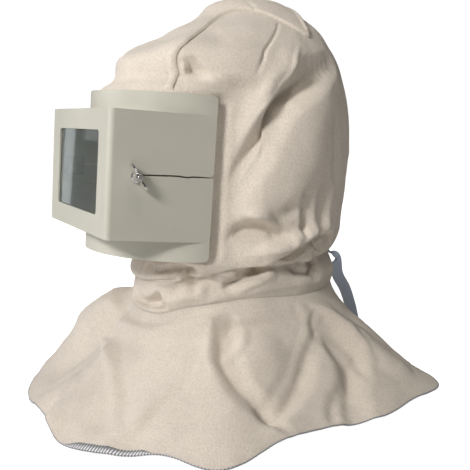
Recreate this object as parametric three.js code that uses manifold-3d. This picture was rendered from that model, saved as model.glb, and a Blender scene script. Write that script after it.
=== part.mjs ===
// Sandblasting hood: a canvas hood with a crown band, a shawl over the shoulders,
// and a moulded box visor held in front of the face.
// Millimetres, +Z up, the face looks along -Y and +X is the wearer's left.
// The origin is the inside of the crown, where the top of the head carries the hood.

import * as THREE from "three";
import { mergeVertices } from "three/addons/utils/BufferGeometryUtils.js";
import Module from "manifold-3d";

const wasm = await Module();
wasm.setup();

// Canvas hood
const CLOTH = 2;
const SEAM_GAP = 0.3;
const HOOD_WIDTH = 256;
const HOOD_DEPTH = 320;
const HOOD_DROP = 342;

// Crown band, measured from seam to seam
const BAND_AT_BROW = 176;
const BAND_AT_CROWN = 56;
const BAND_AT_END = 136;

// Shawl
const CAPE_WIDTH = 500;
const CAPE_DEPTH = 500;
const CAPE_DROP = 114;
const CAPE_DIP = 18;

// Visor: front face, depth to the rear edge, flange strip above and below the box
const BOX_WIDTH = 200;
const BOX_SPLAY = 5.6;
const BOX_REAR_WIDTH = BOX_WIDTH + BOX_SPLAY;
const BOX_TOP = 67.8;
const BOX_BOTTOM = 67.8;
const BOX_REAR_BOTTOM = 71.9;
const BOX_DEPTH = 122;
const BOX_EDGE = 6;
const SHELL = 2;
const FLANGE_STRIP = 22;
const FLANGE_CORNER = 5;
const FLANGE_FIT = 0.5;
const VISOR_REACH = 200;
const VISOR_DROP = 188;
const VISOR_PITCH = THREE.MathUtils.degToRad(-4.35);

// Window, pane and the holder behind it
const WINDOW_WIDTH = 138.4;
const WINDOW_HEIGHT = 90;
const WINDOW_CORNER = 4;
const PANE_LAP = 8;
const PANE = 3;
const HOLDER_LAP = 4;
const HOLDER = 2.5;
const FIT = 0.3;

// Side slit and the bolt that closes it
const SLIT = 1.6;
const BOLT = 6;
const BOLT_DEPTH = 31;
const BOLT_HEIGHT = -1;
const BOLT_HEAD = 12;
const BOLT_HEAD_THICK = 3.5;
const BOLT_TIP = 3;
const WASHER = 13;
const WASHER_THICK = 1.2;
const HUB = 10.5;
const HUB_LENGTH = 8;
const WING_SPAN = 33;
const WING_RISE = 10;
const WING_THICK = 2.2;
const WING_TURN = THREE.MathUtils.degToRad(34);

// Tape at the nape
const TAPE_WIDTH = 16;
const TAPE_THICK = 1.2;
const TAPE_STAND = 26;
const TAPE_GAP = 0.5;

const canvas = new THREE.MeshStandardMaterial({ color: 0xded4c6, roughness: 0.95 });
const moulded = new THREE.MeshStandardMaterial({ color: 0xb4b3a0, roughness: 0.5 });
const glass = new THREE.MeshStandardMaterial({ color: 0x6e736c, roughness: 0.05 });
const darkHolder = new THREE.MeshStandardMaterial({ color: 0x9c9c90, roughness: 0.6 });
const steel = new THREE.MeshStandardMaterial({ color: 0xc8c8c8, roughness: 0.25, metalness: 1 });
const cotton = new THREE.MeshStandardMaterial({ color: 0xa5afcd, roughness: 0.9 });

const smooth = THREE.MathUtils.smoothstep;
const lerp = THREE.MathUtils.lerp;

// Hood sections from the crown down to the neck seam. Lengths are shares:
// down and dip of HOOD_DROP, wide of half HOOD_WIDTH, fore and aft of half HOOD_DEPTH.
// dip lowers the front of a section, lift raises its back, square fills out its front corners.
const HOOD_SECTIONS = [
  { down: -0.038, dip: 0.0, lift: 0.0, wide: 0.0, fore: -0.28, aft: 0.28, square: 2.0 },
  { down: -0.034, dip: 0.0, lift: 0.0, wide: 0.14, fore: -0.03, aft: 0.38, square: 2.0 },
  { down: -0.01, dip: 0.0, lift: 0.0, wide: 0.33, fore: 0.15, aft: 0.48, square: 2.0 },
  { down: 0.041, dip: 0.0, lift: 0.0, wide: 0.52, fore: 0.25, aft: 0.63, square: 2.1 },
  { down: 0.085, dip: 0.0, lift: 0.0, wide: 0.68, fore: 0.44, aft: 0.73, square: 2.2 },
  { down: 0.129, dip: 0.0, lift: 0.0, wide: 0.78, fore: 0.6, aft: 0.79, square: 2.3 },
  { down: 0.181, dip: 0.0, lift: 0.0, wide: 0.87, fore: 0.86, aft: 0.87, square: 2.0 },
  { down: 0.249, dip: 0.0, lift: 0.0, wide: 0.93, fore: 0.915, aft: 0.925, square: 1.8 },
  { down: 0.322, dip: 0.0, lift: 0.0, wide: 0.985, fore: 1.0, aft: 0.955, square: 1.8 },
  { down: 0.404, dip: 0.0, lift: 0.0, wide: 1.0, fore: 1.1, aft: 0.985, square: 1.8 },
  { down: 0.485, dip: 0.0, lift: 0.0, wide: 1.0, fore: 1.11, aft: 1.0, square: 1.8 },
  { down: 0.57, dip: 0.015, lift: 0.009, wide: 1.0, fore: 1.12, aft: 1.0, square: 1.8 },
  { down: 0.655, dip: 0.035, lift: 0.018, wide: 0.99, fore: 1.12, aft: 0.985, square: 1.8 },
  { down: 0.737, dip: 0.047, lift: 0.029, wide: 0.975, fore: 0.96, aft: 0.955, square: 1.8 },
  { down: 0.813, dip: 0.046, lift: 0.038, wide: 0.965, fore: 0.74, aft: 0.91, square: 2.2 },
  { down: 0.868, dip: 0.07, lift: 0.038, wide: 0.94, fore: 0.8, aft: 0.86, square: 2.1 },
  { down: 0.884, dip: 0.076, lift: 0.033, wide: 0.87, fore: 0.765, aft: 0.8, square: 2.1 },
  { down: 0.912, dip: 0.076, lift: 0.018, wide: 0.885, fore: 0.775, aft: 0.83, square: 2.1 },
  { down: 0.953, dip: 0.07, lift: 0.006, wide: 0.91, fore: 0.79, aft: 0.87, square: 2.1 },
  { down: 0.98, dip: 0.067, lift: 0.0, wide: 0.905, fore: 0.805, aft: 0.86, square: 2.1 },
  { down: 1.0, dip: 0.061, lift: 0.0, wide: 0.9, fore: 0.795, aft: 0.84, square: 2.1 },
];

// Shawl sections from the neck seam to the hem: out is the share of the way from the
// neck to the hem outline, down the share of CAPE_DROP.
const CAPE_SECTIONS = [
  { out: 0.0, down: 0.0 },
  { out: 0.05, down: 0.12 },
  { out: 0.13, down: 0.24 },
  { out: 0.24, down: 0.38 },
  { out: 0.36, down: 0.52 },
  { out: 0.5, down: 0.66 },
  { out: 0.66, down: 0.79 },
  { out: 0.83, down: 0.9 },
  { out: 1.0, down: 1.0 },
];

// Hem outline, a row each 15 degrees from the front by the wearer's left: reach is a share of
// the plain hem outline, rise a share of CAPE_DROP.
const HEM_WAVES = [
  { reach: 1.0, rise: 0.0 },
  { reach: 1.05, rise: -0.02 },
  { reach: 1.03, rise: 0.02 },
  { reach: 1.0, rise: 0.05 },
  { reach: 1.08, rise: 0.0 },
  { reach: 0.94, rise: 0.03 },
  { reach: 0.9, rise: 0.0 },
  { reach: 0.95, rise: 0.01 },
  { reach: 0.97, rise: 0.05 },
  { reach: 1.05, rise: 0.05 },
  { reach: 1.0, rise: 0.06 },
  { reach: 0.97, rise: 0.0 },
  { reach: 1.02, rise: -0.02 },
  { reach: 0.96, rise: 0.01 },
  { reach: 1.03, rise: 0.0 },
  { reach: 1.06, rise: -0.01 },
  { reach: 0.96, rise: 0.01 },
  { reach: 0.93, rise: 0.0 },
  { reach: 0.92, rise: 0.0 },
  { reach: 0.98, rise: 0.01 },
  { reach: 0.99, rise: -0.02 },
  { reach: 0.97, rise: -0.03 },
  { reach: 1.02, rise: -0.05 },
  { reach: 1.03, rise: -0.05 },
];

// Folds of the canvas. Rows that share a name are points of one fold: where it lies (turn and
// level), its half width and how far it stands out (below 0 it is a hollow), as shares of
// FOLD_WIDTH and FOLD_DEPTH. Those named twin lie on both sides.
const FOLD_WIDTH = 30;
const FOLD_DEPTH = 10;
const HOOD_FOLDS = [
  { name: "side hollow", twin: true, turn: 0.342, level: 0.316, width: 0.7, depth: -0.5 },
  { name: "side hollow", twin: true, turn: 0.299, level: 0.342, width: 0.9, depth: -1.1 },
  { name: "side hollow", twin: true, turn: 0.258, level: 0.388, width: 0.9, depth: -1.3 },
  { name: "side hollow", twin: true, turn: 0.219, level: 0.503, width: 0.9, depth: -1.3 },
  { name: "side hollow", twin: true, turn: 0.175, level: 0.58, width: 0.8, depth: -0.9 },
  { name: "side crest", twin: true, turn: 0.282, level: 0.245, width: 0.7, depth: 0.1 },
  { name: "side crest", twin: true, turn: 0.262, level: 0.323, width: 0.7, depth: 0.4 },
  { name: "side crest", twin: true, turn: 0.235, level: 0.4, width: 0.8, depth: 0.6 },
  { name: "side crest", twin: true, turn: 0.195, level: 0.47, width: 0.8, depth: 0.3 },
  { name: "back swell", twin: true, turn: 0.31, level: 0.42, width: 1.5, depth: 0.5 },
  { name: "back swell", twin: true, turn: 0.27, level: 0.55, width: 1.7, depth: 0.7 },
  { name: "chin hollow", twin: true, turn: 0.161, level: 0.7, width: 0.6, depth: -0.5 },
  { name: "chin hollow", twin: true, turn: 0.189, level: 0.661, width: 0.8, depth: -1.1 },
  { name: "chin hollow", twin: true, turn: 0.228, level: 0.656, width: 0.8, depth: -1.1 },
  { name: "chin hollow", twin: true, turn: 0.262, level: 0.68, width: 0.6, depth: -0.4 },
  { name: "roll", twin: true, turn: 0.175, level: 0.735, width: 0.8, depth: 0.2 },
  { name: "roll", twin: true, turn: 0.22, level: 0.71, width: 0.9, depth: 0.7 },
  { name: "roll", twin: true, turn: 0.27, level: 0.7, width: 0.9, depth: 0.7 },
  { name: "roll", twin: true, turn: 0.31, level: 0.67, width: 0.8, depth: 0.4 },
  { name: "nape fold", twin: true, turn: 0.288, level: 0.6, width: 0.5, depth: -0.4 },
  { name: "nape fold", twin: true, turn: 0.283, level: 0.67, width: 0.5, depth: -0.7 },
  { name: "rear fold", twin: true, turn: 0.32, level: 0.59, width: 0.6, depth: -0.4 },
  { name: "rear fold", twin: true, turn: 0.306, level: 0.67, width: 0.5, depth: -0.8 },
  { name: "far fold", twin: false, turn: 0.41, level: 0.56, width: 0.8, depth: -0.5 },
  { name: "far fold", twin: false, turn: 0.4, level: 0.68, width: 0.6, depth: -0.8 },
  { name: "neck tuck", twin: true, turn: 0.219, level: 0.82, width: 0.5, depth: -0.6 },
  { name: "neck tuck", twin: true, turn: 0.175, level: 0.868, width: 0.5, depth: -0.5 },
  { name: "neck crease", twin: true, turn: 0.317, level: 0.75, width: 0.5, depth: -0.7 },
  { name: "neck crease", twin: true, turn: 0.312, level: 0.87, width: 0.5, depth: -0.6 },
  { name: "brow pucker", twin: true, turn: 0.133, level: 0.33, width: 0.5, depth: -0.7 },
  { name: "brow pucker", twin: true, turn: 0.143, level: 0.365, width: 0.5, depth: -0.4 },
  { name: "brow puff", twin: true, turn: 0.1, level: 0.27, width: 1.4, depth: 0.6 },
  { name: "throat pit", twin: false, turn: 0.05, level: 0.87, width: 0.5, depth: -0.8 },
  { name: "throat pit", twin: false, turn: -0.02, level: 0.9, width: 0.5, depth: -0.6 },
];
const CAPE_FOLDS = [
  { name: "far shoulder", twin: false, turn: 0.885, level: 0.1, width: 1.4, depth: 1.5 },
  { name: "far shoulder", twin: false, turn: 0.895, level: 0.28, width: 1.9, depth: 3.4 },
  { name: "far shoulder", twin: false, turn: 0.89, level: 0.5, width: 2.2, depth: 4.0 },
  { name: "far shoulder", twin: false, turn: 0.885, level: 0.7, width: 2.2, depth: 2.6 },
  { name: "far shoulder", twin: false, turn: 0.88, level: 0.9, width: 2.0, depth: 0.8 },
  { name: "rear crest", twin: false, turn: 0.41, level: 0.3, width: 1.2, depth: 0.1 },
  { name: "rear crest", twin: false, turn: 0.4, level: 0.55, width: 1.5, depth: 0.6 },
  { name: "rear crest", twin: false, turn: 0.4, level: 0.8, width: 1.4, depth: -0.3 },
  { name: "throat valley", twin: false, turn: -0.05, level: 0.12, width: 0.6, depth: -0.3 },
  { name: "throat valley", twin: false, turn: 0.05, level: 0.1, width: 0.6, depth: -0.3 },
  { name: "throat valley", twin: false, turn: 0.12, level: 0.06, width: 0.5, depth: -0.4 },
  { name: "throat ridge", twin: false, turn: -0.02, level: 0.2, width: 0.8, depth: 1.0 },
  { name: "throat ridge", twin: false, turn: 0.08, level: 0.14, width: 0.7, depth: 0.8 },
  { name: "throat ridge", twin: false, turn: 0.155, level: 0.16, width: 0.7, depth: 0.6 },
  { name: "shoulder crest", twin: true, turn: 0.262, level: 0.04, width: 0.7, depth: 0.5 },
  { name: "shoulder crest", twin: true, turn: 0.32, level: 0.26, width: 0.8, depth: 0.8 },
  { name: "shoulder crest", twin: true, turn: 0.352, level: 0.5, width: 0.9, depth: 0.9 },
  { name: "shoulder crest", twin: true, turn: 0.36, level: 0.75, width: 1.1, depth: 0.8 },
  { name: "shoulder hollow", twin: true, turn: 0.272, level: 0.14, width: 0.6, depth: -0.3 },
  { name: "shoulder hollow", twin: true, turn: 0.302, level: 0.4, width: 0.8, depth: -0.8 },
  { name: "shoulder hollow", twin: true, turn: 0.305, level: 0.62, width: 0.9, depth: -1.1 },
  { name: "shoulder hollow", twin: true, turn: 0.282, level: 0.8, width: 0.9, depth: -1.1 },
  { name: "shoulder hollow", twin: true, turn: 0.268, level: 0.95, width: 0.9, depth: -0.6 },
  { name: "side hollow", twin: true, turn: 0.272, level: 0.38, width: 0.8, depth: -0.4 },
  { name: "side hollow", twin: true, turn: 0.243, level: 0.64, width: 0.8, depth: -0.8 },
  { name: "side hollow", twin: true, turn: 0.205, level: 0.82, width: 0.7, depth: -0.7 },
  { name: "near hollow", twin: true, turn: 0.17, level: 0.18, width: 0.6, depth: -0.7 },
  { name: "near hollow", twin: true, turn: 0.168, level: 0.4, width: 0.7, depth: -1.0 },
  { name: "near hollow", twin: true, turn: 0.183, level: 0.6, width: 0.7, depth: -0.8 },
  { name: "near hollow", twin: true, turn: 0.204, level: 0.8, width: 0.7, depth: -0.6 },
  { name: "near swell", twin: true, turn: 0.21, level: 0.45, width: 1.2, depth: 0.7 },
  { name: "near hem", twin: false, turn: 0.1, level: 0.93, width: 1.0, depth: -0.7 },
  { name: "breast crest", twin: true, turn: 0.0, level: 0.5, width: 1.0, depth: 0.5 },
  { name: "breast crest", twin: true, turn: 0.015, level: 0.95, width: 1.0, depth: 0.7 },
  { name: "breast hollow", twin: true, turn: 0.06, level: 0.55, width: 1.0, depth: -0.4 },
  { name: "breast hollow", twin: true, turn: 0.06, level: 0.8, width: 1.0, depth: -0.6 },
  { name: "rear hollow", twin: true, turn: 0.44, level: 0.5, width: 1.2, depth: -0.6 },
  { name: "rear hollow", twin: true, turn: 0.45, level: 0.9, width: 1.4, depth: -0.9 },
];

// A smooth value between the rows of a table, t from 0 to 1 or round a closed table.
function between(table, t, closed = false) {
  const count = table.length;
  const place = closed ? (((t % 1) + 1) % 1) * count : THREE.MathUtils.clamp(t, 0, 1) * (count - 1);
  const first = closed ? Math.floor(place) : Math.min(Math.floor(place), count - 2);
  const s = place - first;
  const pick = (i) => table[closed ? (i + count) % count : THREE.MathUtils.clamp(i, 0, count - 1)];
  const [a, b, c, d] = [pick(first - 1), pick(first), pick(first + 1), pick(first + 2)];
  const row = {};
  for (const key of Object.keys(b)) {
    const slopeB = (c[key] - a[key]) / 2;
    const slopeC = (d[key] - b[key]) / 2;
    const rise = c[key] - b[key];
    row[key] =
      b[key] + s * slopeB + s * s * (3 * rise - 2 * slopeB - slopeC) + s ** 3 * (slopeB + slopeC - 2 * rise);
  }
  return row;
}

// A point of a rounded section: angle 0 is the front, a quarter turn is the wearer's left.
const BACK_SQUARE = 2.2;

function onOval(angle, half, front, back, square) {
  const power = 2 / (Math.cos(angle) > 0 ? square : BACK_SQUARE);
  const sin = Math.sin(angle);
  const cos = Math.cos(angle);
  return new THREE.Vector2(
    half * Math.sign(sin) * Math.abs(sin) ** power,
    (back - front) / 2 - ((back + front) / 2) * Math.sign(cos) * Math.abs(cos) ** power,
  );
}

// The visor's own frame in the hood: its front face centre and its pitch.
const visor = new THREE.Group();
visor.position.set(0, -VISOR_REACH, -VISOR_DROP);
visor.rotation.x = VISOR_PITCH;
visor.updateMatrixWorld(true);

const FLANGE_RADIUS = BOX_REAR_WIDTH / 2;
const FLANGE_TOP = BOX_TOP + FLANGE_STRIP;
const FLANGE_BOTTOM = BOX_REAR_BOTTOM + FLANGE_STRIP;

// Round the visor the canvas follows the inside of the flange, and lets go of it above and behind.
// At the brow and the chin it is tucked away behind the flange.
const HUG_OVER = 8;
const HUG_FADE = 20;
const HUG_TUCK = 34;
const BROW_TUCK = 16;
const HUG_END = THREE.MathUtils.degToRad(56);
const HUG_HOLD = THREE.MathUtils.degToRad(60);
const HUG_RELEASE = THREE.MathUtils.degToRad(84);

function hugFlange(point, angle) {
  const radius = FLANGE_RADIUS - SHELL - FLANGE_FIT;
  const local = visor.worldToLocal(point.clone());
  const side = Math.abs(angle > Math.PI ? angle - 2 * Math.PI : angle);
  const middle = Math.max(Math.cos((side / HUG_END) * (Math.PI / 2)), 0);
  const above = local.z - FLANGE_TOP + BROW_TUCK * middle;
  const away = Math.max(above, HUG_TUCK * middle - FLANGE_BOTTOM - local.z, 0);
  const hold = (1 - smooth(away, HUG_OVER, HUG_OVER + HUG_FADE)) * (1 - smooth(side, HUG_HOLD, HUG_RELEASE));
  const path = (side / HUG_END) * (Math.PI / 2);
  const sign = angle > Math.PI ? -1 : 1;
  const target =
    path < Math.PI / 2
      ? new THREE.Vector3(sign * radius * Math.sin(path), BOX_DEPTH - radius * Math.cos(path), local.z)
      : new THREE.Vector3(sign * radius, BOX_DEPTH + radius * (path - Math.PI / 2), local.z);
  return { point: visor.localToWorld(local.lerp(target, hold)), hold };
}

// The unfolded hood at a turn (0 to 1 from the front by the left) and a level (0 crown, 1 seam).
function hoodPlain(turn, level) {
  const angle = (turn - Math.floor(turn)) * 2 * Math.PI;
  const row = between(HOOD_SECTIONS, level);
  const half = Math.max(row.wide, 0) * (HOOD_WIDTH / 2);
  const flat = onOval(angle, half, row.fore * (HOOD_DEPTH / 2), row.aft * (HOOD_DEPTH / 2), row.square);
  const ahead = Math.max(Math.cos(angle), 0) ** 2;
  const behind = Math.max(-Math.cos(angle), 0) ** 2;
  const z = -HOOD_DROP * (row.down + row.dip * ahead - row.lift * behind);
  return hugFlange(new THREE.Vector3(flat.x, flat.y, z), angle);
}

// Folds as lines over a surface, each a run of points with its width and depth
function foldLines(table, surface) {
  const lines = [];
  for (const mirror of [false, true]) {
    const rows = table.filter((row) => !mirror || row.twin);
    rows.forEach((row, k) => {
      const next = rows[k + 1];
      const turnOf = (r) => (mirror ? -r.turn : r.turn);
      const alone = !rows.some((other, n) => n !== k && other.name === row.name);
      if (!alone && (!next || next.name !== row.name)) return;
      const end = alone ? row : next;
      for (let i = 0; i < 4; i++) {
        const share = i / 4;
        lines.push({
          fold: row.name + mirror,
          at: surface(lerp(turnOf(row), turnOf(end), share), lerp(row.level, end.level, share)),
          to: surface(
            lerp(turnOf(row), turnOf(end), share + 0.25),
            lerp(row.level, end.level, share + 0.25),
          ),
          width: lerp(row.width, end.width, share) * FOLD_WIDTH,
          depth: lerp(row.depth, end.depth, share) * FOLD_DEPTH,
        });
      }
    });
  }
  return lines;
}

// How far the folds push a point of the surface, each fold by its nearest stretch
function foldPush(lines, point) {
  const push = {};
  const near = new THREE.Vector3();
  for (const line of lines) {
    new THREE.Line3(line.at, line.to).closestPointToPoint(point, true, near);
    const share = near.distanceTo(point) / line.width;
    if (share >= 1) continue;
    const amount = line.depth * (1 - share * share) ** 2;
    if (Math.abs(amount) > Math.abs(push[line.fold] ?? 0)) push[line.fold] = amount;
  }
  return Object.values(push).reduce((sum, amount) => sum + amount, 0);
}

function outwardOf(surface, turn, level) {
  const step = 0.004;
  const down = surface(turn, level + step).sub(surface(turn, level - step));
  const round = surface(turn + step, level).sub(surface(turn - step, level));
  return down.cross(round).normalize();
}

const hoodSmooth = (turn, level) => hoodPlain(turn, level).point;
const hoodLines = foldLines(HOOD_FOLDS, hoodSmooth);

// Outer face of the hood canvas, free of folds where the flange holds it
function hoodAt(turn, level) {
  const { point, hold } = hoodPlain(turn, level);
  const push = foldPush(hoodLines, point) * (1 - hold);
  return Math.abs(push) < 1e-6 ? point : point.addScaledVector(outwardOf(hoodSmooth, turn, level), push);
}

// The unfolded shawl at a turn and a level (0 neck seam, 1 hem).
function capePlain(turn, level) {
  const angle = turn * 2 * Math.PI;
  const row = between(CAPE_SECTIONS, level);
  const wave = between(HEM_WAVES, turn, true);
  const neck = hoodAt(turn, 1);
  const hem = onOval(angle, CAPE_WIDTH / 2, CAPE_DEPTH / 2, CAPE_DEPTH / 2, 2.2);
  const x = lerp(neck.x, hem.x * wave.reach, row.out);
  const y = lerp(neck.y, hem.y * wave.reach, row.out);
  const hemZ = -HOOD_DROP - CAPE_DROP * (1 - wave.rise) - CAPE_DIP * Math.abs(Math.cos(angle)) ** 1.5;
  return new THREE.Vector3(x, y, lerp(neck.z, hemZ, row.down) - SEAM_GAP);
}

const capeLines = foldLines(CAPE_FOLDS, capePlain);

// Outer face of the shawl, free of folds at the neck seam
function capeAt(turn, level) {
  const point = capePlain(turn, level);
  const push = foldPush(capeLines, point) * smooth(level, 0, 0.2);
  return Math.abs(push) < 1e-6 ? point : point.addScaledVector(outwardOf(capePlain, turn, level), push);
}

// A closed wall of cloth from a grid of points on its outer face. Rows run down, columns run once
// round. A first row that is one point is a closed top.
function clothWall(rows, wall) {
  const round = rows[0].length;
  const domed = rows[0][0].distanceTo(rows[0][1]) < 1e-6;
  const vertices = [];
  const ids = rows.map((row, j) =>
    row.map((p, i) => (domed && j === 0 && i > 0 ? 0 : vertices.push(p) - 1)),
  );
  const faces = [];
  for (let j = 0; j + 1 < rows.length; j++) {
    for (let i = 0; i < round; i++) {
      const next = (i + 1) % round;
      const [a, b, c, d] = [ids[j][i], ids[j + 1][i], ids[j + 1][next], ids[j][next]];
      if (a !== d) faces.push(a, b, d);
      faces.push(d, b, c);
    }
  }
  const outer = new THREE.BufferGeometry().setFromPoints(vertices).setIndex(faces);
  outer.computeVertexNormals();
  const normals = outer.attributes.normal;
  const count = vertices.length;
  const inner = vertices.map((p, k) => p.clone().addScaledVector(new THREE.Vector3().fromBufferAttribute(normals, k), -wall));
  const all = faces.slice();
  for (let k = 0; k < faces.length; k += 3) {
    all.push(faces[k] + count, faces[k + 2] + count, faces[k + 1] + count);
  }
  const rim = (line, down) => {
    for (let i = 0; i < round; i++) {
      const [a, b] = [line[i], line[(i + 1) % round]];
      if (down) all.push(a, a + count, b, b, a + count, b + count);
      else all.push(a, b, a + count, b, b + count, a + count);
    }
  };
  rim(ids[rows.length - 1], true);
  if (!domed) rim(ids[0], false);
  return new THREE.BufferGeometry().setFromPoints([...vertices, ...inner]).setIndex(all);
}

// three.js geometry to a solid and back
function solid(geometry) {
  const bare = new THREE.BufferGeometry();
  bare.setAttribute("position", geometry.attributes.position);
  bare.setIndex(geometry.index);
  const merged = mergeVertices(bare, 1e-4);
  return new wasm.Manifold(
    new wasm.Mesh({
      numProp: 3,
      vertProperties: new Float32Array(merged.attributes.position.array),
      triVerts: new Uint32Array(merged.index.array),
    }),
  );
}

function geometryOf(body) {
  const mesh = body.getMesh();
  const geometry = new THREE.BufferGeometry();
  geometry.setAttribute("position", new THREE.BufferAttribute(new Float32Array(mesh.vertProperties), 3));
  geometry.setIndex(new THREE.BufferAttribute(new Uint32Array(mesh.triVerts), 1));
  return geometry;
}

function named(name, geometry, material) {
  const mesh = new THREE.Mesh(geometry, material);
  mesh.name = name;
  return mesh;
}

const ROUND = 40;
const CAPE_ROWS = 12;

// Levels down the hood: each section, and one more between the wide ones
function hoodLevels() {
  const last = HOOD_SECTIONS.length - 1;
  const levels = [];
  for (let row = 0; row <= last; row++) {
    levels.push(row / last);
    if (row >= 4 && row < 14) levels.push((row + 0.5) / last);
  }
  return levels;
}

function gridOf(surface, levels) {
  return levels.map((level) => {
    const row = [];
    for (let i = 0; i < ROUND; i++) row.push(surface(i / ROUND, level));
    return row;
  });
}

// A box in the visor's frame that opens the canvas in front of the face
const FACE_LAP = 17;

function faceCut() {
  const width = 2 * FLANGE_RADIUS + 40;
  const depth = BOX_DEPTH - FACE_LAP;
  const front = 60;
  const top = BOX_TOP - 2;
  const bottom = -BOX_REAR_BOTTOM + 2;
  const box = new THREE.BoxGeometry(width, depth + front, top - bottom);
  box.translate(0, (depth - front) / 2, (top + bottom) / 2);
  box.applyMatrix4(visor.matrixWorld);
  return solid(box);
}

// The crown band lies between two seams that run from the brow over the crown to a cross seam:
// a fan of slices about the middle of the head cuts it out
const FAN = { y: 0, z: -150, inner: 40, outer: 330, slices: 20 };
const FAN_START = THREE.MathUtils.degToRad(-112);
const FAN_BROW = THREE.MathUtils.degToRad(-64);
const FAN_CROWN = THREE.MathUtils.degToRad(-6);
const FAN_END = THREE.MathUtils.degToRad(27);

function bandHalf(angle) {
  const crown = THREE.MathUtils.mapLinear(angle, FAN_BROW, FAN_CROWN, 0, 1);
  const end = THREE.MathUtils.mapLinear(angle, FAN_CROWN, FAN_END, 0, 1);
  const front = lerp(BAND_AT_BROW, BAND_AT_CROWN, THREE.MathUtils.clamp(crown, 0, 1));
  return lerp(front, BAND_AT_END, smooth(end, 0, 1)) / 2;
}

function bandFan(grow) {
  const vertices = [];
  const index = [];
  for (let k = 0; k <= FAN.slices; k++) {
    const angle = lerp(FAN_START, FAN_END, k / FAN.slices) + (k === FAN.slices ? grow / FAN.outer : 0);
    const half = bandHalf(angle) + grow;
    for (const [x, r] of [[-half, FAN.outer], [half, FAN.outer], [half, FAN.inner], [-half, FAN.inner]]) {
      vertices.push(new THREE.Vector3(x, FAN.y + r * Math.sin(angle), FAN.z + r * Math.cos(angle)));
    }
  }
  for (let k = 0; k < FAN.slices; k++) {
    for (let e = 0; e < 4; e++) {
      const [a, b] = [4 * k + e, 4 * k + ((e + 1) % 4)];
      index.push(a, b, a + 4, b, b + 4, a + 4);
    }
  }
  const end = 4 * FAN.slices;
  index.push(0, 2, 1, 0, 3, 2);
  index.push(end, end + 1, end + 2, end, end + 2, end + 3);
  return solid(new THREE.BufferGeometry().setFromPoints(vertices).setIndex(index));
}

function hoodPieces() {
  const grid = gridOf(hoodAt, hoodLevels());
  const canvasShell = solid(clothWall(grid, CLOTH)).subtract(faceCut());
  const band = canvasShell.intersect(bandFan(0));
  const body = canvasShell.subtract(bandFan(SEAM_GAP));
  return [
    named("crown_band", geometryOf(band), canvas),
    named("hood_body", geometryOf(body), canvas),
  ];
}

function capePiece() {
  const levels = [];
  for (let k = 0; k <= CAPE_ROWS; k++) levels.push(k / CAPE_ROWS);
  return named("cape", clothWall(gridOf(capeAt, levels), CLOTH), canvas);
}

// A solid over a plan outline (x across, y backward) whose top and bottom follow the depth y
function overPlan(shape, topAt, bottomAt, segments) {
  const geometry = new THREE.ExtrudeGeometry(shape, { depth: 1, bevelEnabled: false, curveSegments: segments });
  const position = geometry.attributes.position;
  for (let k = 0; k < position.count; k++) {
    const y = position.getY(k);
    position.setZ(k, position.getZ(k) < 0.5 ? bottomAt(y) : topAt(y));
  }
  return solid(geometry);
}

// Plan of the box: straight sides that open a little to the rear, rounded front edges
function boxPlan(inset, behind) {
  const front = BOX_WIDTH / 2 - inset;
  const rear = BOX_REAR_WIDTH / 2 - inset;
  const end = BOX_DEPTH + behind;
  const edge = BOX_EDGE - inset;
  return new THREE.Shape()
    .moveTo(-front, inset + edge)
    .absarc(-front + edge, inset + edge, edge, Math.PI, 1.5 * Math.PI)
    .absarc(front - edge, inset + edge, edge, 1.5 * Math.PI, 2 * Math.PI)
    .lineTo(rear, BOX_DEPTH)
    .lineTo(rear, end)
    .lineTo(-rear, end)
    .lineTo(-rear, BOX_DEPTH)
    .closePath();
}

function flangePlan(inset, behind) {
  const radius = FLANGE_RADIUS - inset;
  const end = BOX_DEPTH + behind;
  return new THREE.Shape()
    .moveTo(-radius, end)
    .absarc(0, BOX_DEPTH, radius, Math.PI, 2 * Math.PI)
    .lineTo(radius, end)
    .closePath();
}

const bottomAlong = (y) => lerp(-BOX_BOTTOM, -BOX_REAR_BOTTOM, y / BOX_DEPTH);

function roundedPane(width, height, corner) {
  const [w, h] = [width / 2, height / 2];
  return new THREE.Shape()
    .moveTo(-w, -h + corner)
    .absarc(-w + corner, -h + corner, corner, Math.PI, 1.5 * Math.PI)
    .absarc(w - corner, -h + corner, corner, 1.5 * Math.PI, 2 * Math.PI)
    .absarc(w - corner, h - corner, corner, 0, 0.5 * Math.PI)
    .absarc(-w + corner, h - corner, corner, 0.5 * Math.PI, Math.PI)
    .closePath();
}

// A flat plate of an outline (x across, y up) from depth front to depth back
function plate(shape, front, back, segments = 4) {
  const geometry = new THREE.ExtrudeGeometry(shape, {
    depth: back - front,
    bevelEnabled: false,
    curveSegments: segments,
  });
  geometry.rotateX(Math.PI / 2);
  geometry.translate(0, back, 0);
  return solid(geometry);
}

// A plate of an outline (x is depth, y is up) across the whole visor
function acrossVisor(shape, segments = 6) {
  const width = BOX_REAR_WIDTH + 40;
  const geometry = new THREE.ExtrudeGeometry(shape, {
    depth: width,
    bevelEnabled: false,
    curveSegments: segments,
  });
  geometry.rotateX(Math.PI / 2);
  geometry.rotateZ(Math.PI / 2);
  geometry.translate(-width / 2, 0, 0);
  return solid(geometry);
}

// A round bar along X between two distances from the middle, at the bolt
function boltBar(diameter, from, to, sides = 20) {
  const bar = new THREE.CylinderGeometry(diameter / 2, diameter / 2, to - from, sides);
  bar.rotateZ(-Math.PI / 2);
  bar.translate((from + to) / 2, 0, 0);
  return bar;
}

// The slit runs from the bolt to the rear edge, with a small step near its end: share of the way
// and rise in slit widths. The flap above it ends in a round corner.
const SLIT_LINE = [
  { way: 0.0, rise: 1.2 },
  { way: 0.5, rise: 1.4 },
  { way: 0.6, rise: 0.9 },
  { way: 0.66, rise: 0.6 },
  { way: 0.72, rise: 1.2 },
  { way: 1.0, rise: 1.0 },
];

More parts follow.
